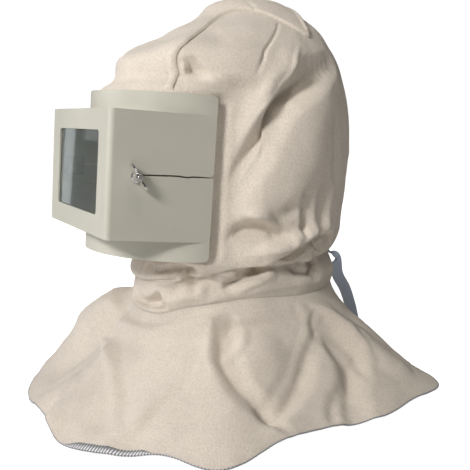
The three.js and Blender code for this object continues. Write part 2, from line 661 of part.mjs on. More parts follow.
function slitShape() {
  const along = (row) => lerp(BOLT_DEPTH, BOX_DEPTH, row.way);
  const last = SLIT_LINE[SLIT_LINE.length - 1];
  const end = BOX_DEPTH + SHELL;
  const top = BOLT_HEIGHT + SLIT * (last.rise + 0.5);
  const shape = new THREE.Shape();
  SLIT_LINE.slice(0, -1).forEach((row, k) => {
    const y = BOLT_HEIGHT + SLIT * (row.rise + 0.5);
    if (k) shape.lineTo(along(row), y);
    else shape.moveTo(along(row), y);
  });
  shape.lineTo(BOX_DEPTH - FLANGE_CORNER, top);
  shape.absarc(BOX_DEPTH - FLANGE_CORNER, top + FLANGE_CORNER, FLANGE_CORNER, -Math.PI / 2, 0);
  shape.lineTo(end, top + FLANGE_CORNER);
  shape.lineTo(end, top - SLIT);
  [...SLIT_LINE].reverse().forEach((row) => {
    shape.lineTo(along(row), BOLT_HEIGHT + SLIT * (row.rise - 0.5));
  });
  return shape.closePath();
}

// What is taken off a rear corner of the flange to round it, sign 1 for the top
function cornerShape(sign) {
  const edge = sign > 0 ? FLANGE_TOP : -FLANGE_BOTTOM;
  const [far, out] = [BOX_DEPTH + SHELL, edge + sign * SHELL];
  const [y, z] = [BOX_DEPTH - FLANGE_CORNER, edge - sign * FLANGE_CORNER];
  const shape = new THREE.Shape().moveTo(y, out).lineTo(y, edge);
  shape.absarc(y, z, FLANGE_CORNER, (sign * Math.PI) / 2, 0, sign > 0);
  return shape.lineTo(far, z).lineTo(far, out).closePath();
}

function visorShell() {
  const boxOutside = overPlan(boxPlan(0, 0), () => BOX_TOP, bottomAlong, 5);
  const boxInside = overPlan(
    boxPlan(SHELL, SHELL),
    () => BOX_TOP - SHELL,
    (y) => bottomAlong(y) + SHELL,
    5,
  );
  const flangeOutside = overPlan(flangePlan(0, 0), () => FLANGE_TOP, () => -FLANGE_BOTTOM, 24);
  const flangeInside = overPlan(
    flangePlan(SHELL, SHELL),
    () => FLANGE_TOP + SHELL,
    () => -FLANGE_BOTTOM - SHELL,
    24,
  );
  const opening = plate(roundedPane(WINDOW_WIDTH, WINDOW_HEIGHT, WINDOW_CORNER), -SHELL, 2 * SHELL);
  const holes = boltBar(BOLT + 2 * FIT, -BOX_WIDTH, BOX_WIDTH);
  holes.translate(0, BOLT_DEPTH, BOLT_HEIGHT);
  return boxOutside
    .add(flangeOutside)
    .subtract(boxInside)
    .subtract(flangeInside)
    .subtract(opening)
    .subtract(solid(holes))
    .subtract(acrossVisor(slitShape()))
    .subtract(acrossVisor(cornerShape(1)))
    .subtract(acrossVisor(cornerShape(-1)));
}

// Behind the window: the pane, then the holder with an arm back to each bolt
const PANE_FRONT = SHELL + FIT;
const HOLDER_FRONT = PANE_FRONT + PANE + FIT;
const ARM_OUT = BOX_WIDTH / 2 - SHELL - FIT;
const ARM_IN = ARM_OUT - HOLDER;

function paneSolid() {
  const outline = roundedPane(WINDOW_WIDTH + 2 * PANE_LAP, WINDOW_HEIGHT + 2 * PANE_LAP, 1);
  return plate(outline, PANE_FRONT, PANE_FRONT + PANE, 1);
}

function holderSolid() {
  const height = WINDOW_HEIGHT + 2 * (PANE_LAP + HOLDER_LAP);
  const back = HOLDER_FRONT + HOLDER;
  const opening = roundedPane(WINDOW_WIDTH + HOLDER_LAP, WINDOW_HEIGHT + HOLDER_LAP, WINDOW_CORNER);
  const frame = plate(roundedPane(2 * ARM_OUT, height, 1), HOLDER_FRONT, back, 1);
  let holder = frame.subtract(plate(opening, HOLDER_FRONT - 1, back + 1));
  const length = BOLT_DEPTH + BOLT_HEAD - HOLDER_FRONT;
  for (const side of [-1, 1]) {
    const arm = new THREE.BoxGeometry(HOLDER, length, 2 * BOLT_HEAD);
    arm.translate((side * (ARM_IN + ARM_OUT)) / 2, HOLDER_FRONT + length / 2, BOLT_HEIGHT);
    holder = holder.add(solid(arm));
  }
  const holes = boltBar(BOLT + 2 * FIT, -BOX_WIDTH, BOX_WIDTH);
  holes.translate(0, BOLT_DEPTH, BOLT_HEIGHT);
  return holder.subtract(solid(holes));
}

// The bolt from its head inside the box outwards, then the washer and the wing nut
const HEAD_OUT = ARM_IN - FIT;
const WALL_OUT = lerp(BOX_WIDTH, BOX_REAR_WIDTH, (BOLT_DEPTH + WASHER / 2) / BOX_DEPTH) / 2;
const WASHER_IN = WALL_OUT + FIT;
const HUB_IN = WASHER_IN + WASHER_THICK + FIT;
const HUB_OUT = HUB_IN + HUB_LENGTH;

function boltSolid() {
  const head = solid(boltBar(BOLT_HEAD, HEAD_OUT - BOLT_HEAD_THICK, HEAD_OUT, 6));
  return head.add(solid(boltBar(BOLT, HEAD_OUT - 1, HUB_OUT + BOLT_TIP)));
}

function washerSolid() {
  const disc = solid(boltBar(WASHER, WASHER_IN, WASHER_IN + WASHER_THICK, 20));
  return disc.subtract(solid(boltBar(BOLT + 2 * FIT, WASHER_IN - 1, WASHER_IN + WASHER_THICK + 1)));
}

// One wing seen from the side: x runs out along the bolt, y away from it
function wingShape() {
  const tip = WING_SPAN / 2;
  const start = HUB_IN + HUB_LENGTH * 0.15;
  const rise = HUB_IN + WING_RISE;
  const round = WING_SPAN * 0.16;
  return new THREE.Shape()
    .moveTo(start, 0)
    .lineTo(start, HUB / 2)
    .quadraticCurveTo(start + round * 0.5, tip - round, rise - 2 * round + 1, tip - round * 0.6)
    .absarc(rise - round, tip - round, round, 0.75 * Math.PI, 0, true)
    .quadraticCurveTo(rise - round * 0.2, HUB / 2 + 1, HUB_OUT - 1, HUB / 2 - 1)
    .lineTo(HUB_OUT - 1, 0)
    .closePath();
}

function wingNutSolid() {
  const hub = new THREE.CylinderGeometry(HUB * 0.41, HUB / 2, HUB_LENGTH, 20);
  hub.rotateZ(-Math.PI / 2);
  hub.translate(HUB_IN + HUB_LENGTH / 2, 0, 0);
  let nut = solid(hub);
  for (const side of [0, 1]) {
    const wing = new THREE.ExtrudeGeometry(wingShape(), {
      depth: WING_THICK,
      bevelEnabled: false,
      curveSegments: 5,
    });
    wing.translate(0, 0, -WING_THICK / 2);
    wing.rotateX(Math.PI / 2 + side * Math.PI);
    nut = nut.add(solid(wing));
  }
  return nut.subtract(solid(boltBar(BOLT + 2 * FIT, HUB_IN - 1, HUB_OUT + BOLT_TIP)));
}

function boltGroup(side) {
  const group = new THREE.Group();
  group.position.set(0, BOLT_DEPTH, BOLT_HEIGHT);
  if (side === "right") group.rotation.z = Math.PI;
  group.add(named(side + "_wing_bolt", geometryOf(boltSolid()), steel));
  group.add(named(side + "_washer", geometryOf(washerSolid()), steel));
  const nut = named(side + "_wing_nut", geometryOf(wingNutSolid()), steel);
  nut.rotation.x = WING_TURN;
  group.add(nut);
  return group;
}

visor.add(named("visor_shell", geometryOf(visorShell()), moulded));
visor.add(named("window_glass", geometryOf(paneSolid()), glass));
visor.add(named("glass_holder", geometryOf(holderSolid()), darkHolder));
visor.add(boltGroup("left"), boltGroup("right"));

// The tape leaves the nape, swings clear of the neck and comes down on the back of the shawl.
// Rows on the hood have a level there, rows on the shawl a level there; stand is the height
// over the canvas as a share of TAPE_STAND.
const TAPE_ROUTE = [
  { on: "hood", turn: 0.437, level: 0.86, stand: 0.04 },
  { on: "hood", turn: 0.441, level: 0.875, stand: 0.12 },
  { on: "hood", turn: 0.447, level: 0.895, stand: 0.36 },
  { on: "hood", turn: 0.462, level: 0.96, stand: 0.83 },
  { on: "cape", turn: 0.482, level: 0.33, stand: 0.96 },
  { on: "cape", turn: 0.494, level: 0.54, stand: 0.78 },
  { on: "cape", turn: 0.498, level: 0.68, stand: 0.4 },
  { on: "cape", turn: 0.5, level: 0.79, stand: 0.08 },
  { on: "cape", turn: 0.5, level: 0.86, stand: 0.0 },
  { on: "cape", turn: 0.501, level: 0.95, stand: 0.0 },
];

function tapeSolid() {
  const middle = [];
  const beside = [];
  for (const row of TAPE_ROUTE) {
    const surface = row.on === "hood" ? hoodAt : capeAt;
    const along = surface(row.turn, row.level + 0.01).sub(surface(row.turn, row.level - 0.01));
    const out = new THREE.Vector3(0, -along.z, along.y).normalize();
    const round = surface(row.turn + 0.01, row.level).sub(surface(row.turn - 0.01, row.level));
    const stand = TAPE_GAP + TAPE_THICK / 2 + row.stand * TAPE_STAND;
    middle.push(surface(row.turn, row.level).addScaledVector(out, stand));
    beside.push(middle.at(-1).clone().addScaledVector(round.normalize(), TAPE_WIDTH));
  }
  const curve = new THREE.CatmullRomCurve3(middle);
  const edge = new THREE.CatmullRomCurve3(beside);
  const steps = 26;
  const vertices = [];
  const index = [];
  for (let k = 0; k <= steps; k++) {
    const centre = curve.getPoint(k / steps);
    const tangent = curve.getTangent(k / steps);
    const across = edge.getPoint(k / steps).sub(centre);
    across.addScaledVector(tangent, -across.dot(tangent)).normalize();
    const thick = new THREE.Vector3().crossVectors(tangent, across).normalize();
    for (const [w, t] of [[-1, -1], [1, -1], [1, 1], [-1, 1]]) {
      vertices.push(
        centre
          .clone()
          .addScaledVector(across, (w * TAPE_WIDTH) / 2)
          .addScaledVector(thick, (t * TAPE_THICK) / 2),
      );
    }
  }
  for (let k = 0; k < steps; k++) {
    for (let e = 0; e < 4; e++) {
      const [a, b] = [4 * k + e, 4 * k + ((e + 1) % 4)];
      index.push(a, b, a + 4, b, b + 4, a + 4);
    }
  }
  const end = 4 * steps;
  index.push(0, 2, 1, 0, 3, 2, end, end + 1, end + 2, end, end + 2, end + 3);
  return new THREE.BufferGeometry().setFromPoints(vertices).setIndex(index);
}

const hood = new THREE.Group();
hood.add(...hoodPieces());
hood.add(capePiece());
hood.add(visor);
hood.add(named("tie_tape", tapeSolid(), cotton));

export default hood;
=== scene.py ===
"""Sandblasting hood: canvas hood and shawl, moulded box visor, wing nuts and nape tape.

Lengths in the surface functions are millimetres, as in the part's source; the meshes are in metres.
"""
import math

import bmesh
import bpy
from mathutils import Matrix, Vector, noise
from mathutils.bvhtree import BVHTree
from mathutils.geometry import intersect_point_line


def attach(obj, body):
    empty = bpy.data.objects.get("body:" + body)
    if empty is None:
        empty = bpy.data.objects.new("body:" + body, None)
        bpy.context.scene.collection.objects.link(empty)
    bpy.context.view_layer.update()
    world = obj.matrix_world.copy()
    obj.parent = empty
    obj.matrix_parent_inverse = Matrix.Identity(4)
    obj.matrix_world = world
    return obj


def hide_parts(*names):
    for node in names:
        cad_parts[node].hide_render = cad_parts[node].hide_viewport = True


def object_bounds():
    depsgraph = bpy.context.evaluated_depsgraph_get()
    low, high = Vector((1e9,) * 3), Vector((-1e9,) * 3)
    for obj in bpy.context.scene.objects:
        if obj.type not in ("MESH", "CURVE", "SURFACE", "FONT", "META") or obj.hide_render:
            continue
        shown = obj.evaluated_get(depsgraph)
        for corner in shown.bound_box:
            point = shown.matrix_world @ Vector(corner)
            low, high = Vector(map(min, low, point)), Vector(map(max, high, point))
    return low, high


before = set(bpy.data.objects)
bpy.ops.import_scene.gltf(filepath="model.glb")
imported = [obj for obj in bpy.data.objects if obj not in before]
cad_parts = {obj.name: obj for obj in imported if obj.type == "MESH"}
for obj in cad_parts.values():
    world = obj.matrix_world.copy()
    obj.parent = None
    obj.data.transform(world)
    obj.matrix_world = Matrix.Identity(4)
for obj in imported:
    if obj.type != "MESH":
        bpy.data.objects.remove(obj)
cad_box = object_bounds()
MM = 0.001

# Canvas
CLOTH = 2.0
HOOD_WIDTH = 256.0
HOOD_DEPTH = 320.0
HOOD_DROP = 342.0
BACK_SQUARE = 2.2
CAPE_WIDTH = 500.0
CAPE_DEPTH = 500.0
CAPE_DROP = 114.0
CAPE_DIP = 18.0
SEAM_GAP = 0.1
SEAM_RISE = 7.0

# Visor as the canvas meets it
BOX_TOP = 67.8
BOX_REAR_BOTTOM = 71.9
BOX_DEPTH = 122.0
FLANGE_RADIUS = 102.8
FLANGE_STRIP = 22.0
FLANGE_TOP = BOX_TOP + FLANGE_STRIP
FLANGE_BOTTOM = BOX_REAR_BOTTOM + FLANGE_STRIP
SHELL = 2.0
FLANGE_FIT = 0.5
VISOR = Vector((0.0, -200.0, -188.0))
VISOR_PITCH = math.radians(-4.35)
HUG_OVER = 8.0
HUG_FADE = 20.0
HUG_TUCK = 34.0
BROW_TUCK = 16.0
HUG_END = math.radians(56)
HUG_HOLD = math.radians(60)
HUG_RELEASE = math.radians(84)
FACE_LAP = 17.0
FACE_SIDE = 5.0
FACE_EDGE = 2.0

# Crown band
FAN_Y = 0.0
FAN_Z = -150.0
FAN_START = math.radians(-112)
FAN_BROW = math.radians(-64)
FAN_END = math.radians(27)
FAN_REACH = 180.0
BAND_LOWEST = -110.0
BAND_LIFT = 2.2
BAND_ROLL = 1.6
BAND_EDGE = 9.0
BAND_UNDERLAP = 9.0
BAND_CROSS_SEAM = 2.0
BAND_CROSS_DIP = 1.3
BAND_STITCH_DIP = 0.7

# Tape
TAPE_WIDTH = 16.0
TAPE_THICK = 1.2
TAPE_STAND = 26.0
TAPE_GAP = 0.5
TAPE_LENGTH = 220.0
TAPE_TURNED = Vector((0.5, 0.86, 0.0))

# Overlock thread at the hem
EDGE_STAND = 0.35
EDGE_FOLD = 8.0
EDGE_RIPPLE = 0.25
EDGE_RIPPLES = 420

# Stitches
STITCH_LENGTH = 2.6
STITCHES_AT_ONCE = 12

# Folds: the tables hold widths and depths as shares of these
FOLD_WIDTH = 30.0
FOLD_DEPTH = 10.0
FOLD_CELL = 24.0
FOLD_STRETCHES = 4
HOOD_FINE_SHARE = 1.5
CAPE_FINE_SHARE = 0.85

# The canvas falls in along the rear edge of the flange
FALL_DEPTH = 6.0
FALL_REACH = 16.0
FALL_BEHIND = 6.0
FALL_SIDE = 80.0

# Hood sections from the crown to the neck seam, as shares of its size:
# down, dip, lift, wide, fore, aft, square
HOOD_SECTIONS = [
    (-0.038, 0.0, 0.0, 0.0, -0.28, 0.28, 2.0),
    (-0.034, 0.0, 0.0, 0.14, -0.03, 0.38, 2.0),
    (-0.01, 0.0, 0.0, 0.33, 0.15, 0.48, 2.0),
    (0.041, 0.0, 0.0, 0.52, 0.25, 0.63, 2.1),
    (0.085, 0.0, 0.0, 0.68, 0.44, 0.73, 2.2),
    (0.129, 0.0, 0.0, 0.78, 0.6, 0.79, 2.3),
    (0.181, 0.0, 0.0, 0.87, 0.86, 0.87, 2.0),
    (0.249, 0.0, 0.0, 0.93, 0.915, 0.925, 1.8),
    (0.322, 0.0, 0.0, 0.985, 1.0, 0.955, 1.8),
    (0.404, 0.0, 0.0, 1.0, 1.1, 0.985, 1.8),
    (0.485, 0.0, 0.0, 1.0, 1.11, 1.0, 1.8),
    (0.57, 0.015, 0.009, 1.0, 1.12, 1.0, 1.8),
    (0.655, 0.035, 0.018, 0.99, 1.12, 0.985, 1.8),
    (0.737, 0.047, 0.029, 0.975, 0.96, 0.955, 1.8),
    (0.813, 0.046, 0.038, 0.965, 0.74, 0.91, 2.2),
    (0.868, 0.07, 0.038, 0.94, 0.8, 0.86, 2.1),
    (0.884, 0.076, 0.033, 0.87, 0.765, 0.8, 2.1),
    (0.912, 0.076, 0.018, 0.885, 0.775, 0.83, 2.1),
    (0.953, 0.07, 0.006, 0.91, 0.79, 0.87, 2.1),
    (0.98, 0.067, 0.0, 0.905, 0.805, 0.86, 2.1),
    (1.0, 0.061, 0.0, 0.9, 0.795, 0.84, 2.1),
]

# Shawl sections from the neck seam to the hem: out, down
CAPE_SECTIONS = [
    (0.0, 0.0), (0.05, 0.12), (0.13, 0.24), (0.24, 0.38),
    (0.36, 0.52), (0.5, 0.66), (0.66, 0.79), (0.83, 0.9),
    (1.0, 1.0),
]

# Hem outline, a row each 15 degrees: reach, rise
HEM_WAVES = [
    (1.0, 0.0), (1.05, -0.02), (1.03, 0.02), (1.0, 0.05),
    (1.08, 0.0), (0.94, 0.03), (0.9, 0.0), (0.95, 0.01),
    (0.97, 0.05), (1.05, 0.05), (1.0, 0.06), (0.97, 0.0),
    (1.02, -0.02), (0.96, 0.01), (1.03, 0.0), (1.06, -0.01),
    (0.96, 0.01), (0.93, 0.0), (0.92, 0.0), (0.98, 0.01),
    (0.99, -0.02), (0.97, -0.03), (1.02, -0.05), (1.03, -0.05),
]

# Folds of the hood: name, twin on the other side, rows of turn, level, width, depth
HOOD_FOLDS = [
    ("side hollow", True, [
        (0.342, 0.316, 0.7, -0.5), (0.299, 0.342, 0.9, -1.1),
        (0.258, 0.388, 0.9, -1.3), (0.219, 0.503, 0.9, -1.3),
        (0.175, 0.58, 0.8, -0.9),
    ]),
    ("side crest", True, [
        (0.282, 0.245, 0.7, 0.1), (0.262, 0.323, 0.7, 0.4),
        (0.235, 0.4, 0.8, 0.6), (0.195, 0.47, 0.8, 0.3),
    ]),
    ("back swell", True, [
        (0.31, 0.42, 1.5, 0.5), (0.27, 0.55, 1.7, 0.7),
    ]),
    ("chin hollow", True, [
        (0.161, 0.7, 0.6, -0.5), (0.189, 0.661, 0.8, -1.1),
        (0.228, 0.656, 0.8, -1.1), (0.262, 0.68, 0.6, -0.4),
    ]),
    ("roll", True, [
        (0.175, 0.735, 0.8, 0.2), (0.22, 0.71, 0.9, 0.7),
        (0.27, 0.7, 0.9, 0.7), (0.31, 0.67, 0.8, 0.4),
    ]),
    ("nape fold", True, [
        (0.288, 0.6, 0.5, -0.4), (0.283, 0.67, 0.5, -0.7),
    ]),
    ("rear fold", True, [
        (0.32, 0.59, 0.6, -0.4), (0.306, 0.67, 0.5, -0.8),
    ]),
    ("far fold", False, [
        (0.41, 0.56, 0.8, -0.5), (0.4, 0.68, 0.6, -0.8),
    ]),
    ("neck tuck", True, [
        (0.219, 0.82, 0.5, -0.6), (0.175, 0.868, 0.5, -0.5),
    ]),
    ("neck crease", True, [
        (0.317, 0.75, 0.5, -0.7), (0.312, 0.87, 0.5, -0.6),
    ]),
    ("brow pucker", True, [
        (0.133, 0.33, 0.5, -0.7), (0.143, 0.365, 0.5, -0.4),
    ]),
    ("brow puff", True, [
        (0.1, 0.27, 1.4, 0.6),
    ]),
    ("throat pit", False, [
        (0.05, 0.87, 0.5, -0.8), (-0.02, 0.9, 0.5, -0.6),
    ]),
]

# Folds of the shawl, in the same way
CAPE_FOLDS = [
    ("far shoulder", False, [
        (0.885, 0.1, 1.4, 1.5), (0.895, 0.28, 1.9, 3.4),
        (0.89, 0.5, 2.2, 4.0), (0.885, 0.7, 2.2, 2.6),
        (0.88, 0.9, 2.0, 0.8),
    ]),
    ("rear crest", False, [
        (0.41, 0.3, 1.2, 0.1), (0.4, 0.55, 1.5, 0.6),
        (0.4, 0.8, 1.4, -0.3),
    ]),
    ("throat valley", False, [
        (-0.05, 0.12, 0.6, -0.3), (0.05, 0.1, 0.6, -0.3),
        (0.12, 0.06, 0.5, -0.4),
    ]),
    ("throat ridge", False, [
        (-0.02, 0.2, 0.8, 1.0), (0.08, 0.14, 0.7, 0.8),
        (0.155, 0.16, 0.7, 0.6),
    ]),
    ("shoulder crest", True, [
        (0.262, 0.04, 0.7, 0.5), (0.32, 0.26, 0.8, 0.8),
        (0.352, 0.5, 0.9, 0.9), (0.36, 0.75, 1.1, 0.8),
    ]),
    ("shoulder hollow", True, [
        (0.272, 0.14, 0.6, -0.3), (0.302, 0.4, 0.8, -0.8),
        (0.305, 0.62, 0.9, -1.1), (0.282, 0.8, 0.9, -1.1),
        (0.268, 0.95, 0.9, -0.6),
    ]),
    ("side hollow", True, [
        (0.272, 0.38, 0.8, -0.4), (0.243, 0.64, 0.8, -0.8),
        (0.205, 0.82, 0.7, -0.7),
    ]),
    ("near hollow", True, [
        (0.17, 0.18, 0.6, -0.7), (0.168, 0.4, 0.7, -1.0),
        (0.183, 0.6, 0.7, -0.8), (0.204, 0.8, 0.7, -0.6),
    ]),
    ("near swell", True, [
        (0.21, 0.45, 1.2, 0.7),
    ]),
    ("near hem", False, [
        (0.1, 0.93, 1.0, -0.7),
    ]),
    ("breast crest", True, [
        (0.0, 0.5, 1.0, 0.5), (0.015, 0.95, 1.0, 0.7),
    ]),
    ("breast hollow", True, [
        (0.06, 0.55, 1.0, -0.4), (0.06, 0.8, 1.0, -0.6),
    ]),
    ("rear hollow", True, [
        (0.44, 0.5, 1.2, -0.6), (0.45, 0.9, 1.4, -0.9),
    ]),
]

# Route of the tape: on, turn, level, stand
TAPE_ROUTE = [
    ("hood", 0.437, 0.86, 0.04),
    ("hood", 0.441, 0.875, 0.12),
    ("hood", 0.447, 0.895, 0.36),
    ("hood", 0.462, 0.96, 0.83),
    ("cape", 0.482, 0.33, 0.96),
    ("cape", 0.494, 0.54, 0.78),
    ("cape", 0.498, 0.68, 0.4),
    ("cape", 0.5, 0.79, 0.08),
    ("cape", 0.5, 0.86, 0.0),
    ("cape", 0.501, 0.95, 0.0),
]

# Creases that only the scene shows, in the same way
FINE_HOOD = [
    ("dart", False, [
        (0.2417, 0.1804, 0.12, -0.144), (0.232, 0.2629, 0.12, -0.24),
        (0.2272, 0.3095, 0.12, -0.24), (0.2125, 0.3423, 0.12, -0.096),
    ]),
    ("crest line", False, [
        (0.2763, 0.2811, 0.18, 0.066), (0.2669, 0.3257, 0.18, 0.3),
        (0.2555, 0.3587, 0.18, 0.42), (0.241, 0.3903, 0.2, 0.48),
        (0.2264, 0.4204, 0.2, 0.48), (0.2128, 0.4503, 0.2, 0.45),
        (0.198, 0.484, 0.2, 0.45), (0.181, 0.523, 0.2, 0.35),
        (0.167, 0.562, 0.18, 0.1),
    ]),
    ("hollow line", False, [
        (0.3601, 0.3195, 0.46, -0.012), (0.314, 0.3407, 0.57, -0.12),
        (0.2746, 0.3575, 0.57, -0.54), (0.2575, 0.3811, 0.5, -1.1),
        (0.2381, 0.4224, 0.44, -1.35), (0.2192, 0.4604, 0.42, -1.5),
        (0.1985, 0.501, 0.4, -1.45), (0.1774, 0.5537, 0.38, -1.0),
        (0.1641, 0.5882, 0.36, -0.3),
    ]),
    ("second crest", False, [
        (0.1908, 0.4627, 0.3, 0.05), (0.1855, 0.4985, 0.34, 0.16),
        (0.1746, 0.5278, 0.34, 0.16), (0.1652, 0.556, 0.3, 0.05),
    ]),
    ("knob", False, [
        (0.1228, 0.3309, 0.18, 0.45), (0.1235, 0.3354, 0.18, 0.45),
    ]),
    ("knob shade", False, [
        (0.1292, 0.3387, 0.16, -0.16), (0.1439, 0.34, 0.18, -0.24),
        (0.1585, 0.3454, 0.2, -0.2), (0.1667, 0.3579, 0.2, -0.06),
    ]),
    ("knob fold", False, [
        (0.1286, 0.3521, 0.2, 0.08), (0.139, 0.3675, 0.24, 0.22),
        (0.1509, 0.3853, 0.24, 0.12),
    ]),
    ("knob crease", False, [
        (0.1307, 0.3613, 0.16, -0.08), (0.1416, 0.3777, 0.2, -0.2),
        (0.1549, 0.3952, 0.2, -0.06),
    ]),
    ("chin crease", False, [
        (0.1637, 0.6986, 0.264, -0.79), (0.1724, 0.6821, 0.286, -1.184),
        (0.1834, 0.6665, 0.33, -1.053), (0.196, 0.6533, 0.396, -0.527),
        (0.2088, 0.648, 0.44, -0.264),
    ]),
    ("chin pit", False, [
        (0.1923, 0.6593, 0.5, -0.567), (0.2096, 0.6612, 0.5, -0.851),
        (0.2264, 0.6737, 0.5, -0.661), (0.2469, 0.6841, 0.4, -0.189),
    ]),
    ("bulge lip", False, [
        (0.1762, 0.6387, 0.36, 0.22), (0.1945, 0.6272, 0.4, 0.55),
        (0.2128, 0.6247, 0.4, 0.66), (0.228, 0.6387, 0.36, 0.44),
        (0.2426, 0.656, 0.3, 0.11),
    ]),
    ("roll lip", False, [
        (0.1713, 0.7258, 0.36, 0.2), (0.1916, 0.7166, 0.4, 0.35),
        (0.2129, 0.7092, 0.4, 0.4), (0.2369, 0.6971, 0.4, 0.4),
        (0.2628, 0.6851, 0.36, 0.3), (0.294, 0.6712, 0.3, 0.15),
    ]),
    ("roll edge", False, [
        (0.1564, 0.7438, 0.168, -0.25), (0.1761, 0.7666, 0.189, -0.375),
        (0.1952, 0.8094, 0.231, -0.5), (0.2191, 0.8101, 0.273, -0.75),
        (0.2443, 0.7494, 0.315, -0.938), (0.2602, 0.7218, 0.336, -1.0),
        (0.2819, 0.7004, 0.336, -1.0), (0.3086, 0.6903, 0.315, -0.625),
        (0.3255, 0.6911, 0.315, -0.375),
    ]),
    ("under roll", False, [
        (0.2734, 0.773, 0.5, -0.3), (0.2829, 0.7321, 0.5, -0.5),
        (0.3027, 0.7156, 0.5, -0.5), (0.3226, 0.7092, 0.4, -0.3),
    ]),
    ("second fold", False, [
        (0.1675, 0.8669, 0.189, -0.26), (0.1862, 0.8522, 0.273, -0.65),
        (0.207, 0.8334, 0.315, -0.78), (0.2249, 0.8137, 0.315, -0.39),
    ]),
    ("second lip", False, [
        (0.1667, 0.8861, 0.3, 0.1), (0.1875, 0.8768, 0.34, 0.28),
        (0.2124, 0.8657, 0.34, 0.28), (0.2376, 0.8512, 0.3, 0.1),
    ]),
    ("step fold", False, [
        (0.2631, 0.8066, 0.2, -0.2), (0.2761, 0.8552, 0.26, -0.4),
        (0.2981, 0.8715, 0.24, -0.3),
    ]),
    ("crescent", False, [
        (0.3017, 0.8712, 0.14, -0.3), (0.3227, 0.8375, 0.2, -0.5),
        (0.3043, 0.7313, 0.2, -0.4), (0.2926, 0.7037, 0.2, -0.2),
    ]),
    ("crescent lip", False, [
        (0.2944, 0.8096, 0.3, 0.1), (0.2927, 0.7539, 0.3, 0.3),
        (0.2892, 0.7221, 0.3, 0.2),
    ]),
    ("throat lip", False, [
        (0.0131, 0.7126, 0.2, 0.1), (0.034, 0.7209, 0.24, 0.3),
        (0.0567, 0.7148, 0.26, 0.3), (0.1208, 0.7096, 0.26, 0.2),
    ]),
    ("throat crease", False, [
        (0.0169, 0.7197, 0.16, -0.25), (0.048, 0.7275, 0.2, -0.438),
        (0.0754, 0.7205, 0.2, -0.375), (0.1239, 0.7224, 0.2, -0.312),
        (0.1443, 0.7348, 0.16, -0.188),
    ]),
    ("throat pit fold", False, [
        (0.103, 0.7335, 0.3, -0.3), (0.1124, 0.7827, 0.36, -0.6),
        (0.1184, 0.8452, 0.3, -0.25),
    ]),
    ("throat wrinkle", False, [
        (0.0098, 0.7935, 0.18, -0.1), (0.0542, 0.7628, 0.2, -0.3),
        (0.075, 0.7603, 0.2, -0.3), (0.0874, 0.748, 0.16, -0.1),
    ]),
    ("throat roll", False, [
        (-0.0125, 0.8739, 0.36, 0.2), (0.0205, 0.8721, 0.4, 0.6),
        (0.0486, 0.844, 0.4, 0.5), (0.0746, 0.8339, 0.36, 0.2),
    ]),
    ("throat deep", False, [
        (-0.0319, 0.931, 0.2, -0.3), (0.0094, 0.9175, 0.26, -0.6),
        (0.0413, 0.8888, 0.26, -0.8), (0.0498, 0.8688, 0.22, -0.5),
    ]),
    ("throat shade", False, [
        (0.0223, 0.9545, 0.22, -0.2), (0.0505, 0.937, 0.28, -0.7),
        (0.0684, 0.9199, 0.24, -0.4),
    ]),
    ("throat belly", False, [
        (0.0661, 0.8861, 0.4, 0.3), (0.0981, 0.8778, 0.4, 0.4),
        (0.1278, 0.8719, 0.4, 0.25),
    ]),
    ("side nick", False, [
        (0.2881, 0.6161, 0.2, -0.08), (0.282, 0.6299, 0.22, -0.35),
        (0.2777, 0.6535, 0.24, -0.4), (0.2735, 0.6803, 0.24, -0.35),
        (0.2649, 0.6905, 0.2, -0.1),
    ]),
    ("side nick lip", False, [
        (0.2954, 0.6262, 0.3, 0.02), (0.2888, 0.6515, 0.34, 0.1),
        (0.2846, 0.6782, 0.3, 0.04),
    ]),
    ("side dent", False, [
        (0.2526, 0.6266, 0.5, -0.08), (0.2627, 0.6199, 0.5, -0.3),
        (0.2735, 0.6155, 0.4, -0.15),
    ]),
    ("back line", False, [
        (0.3338, 0.4421, 0.5, -0.1), (0.338, 0.5062, 0.5, -0.3),
        (0.3384, 0.5595, 0.5, -0.2),
    ]),
]
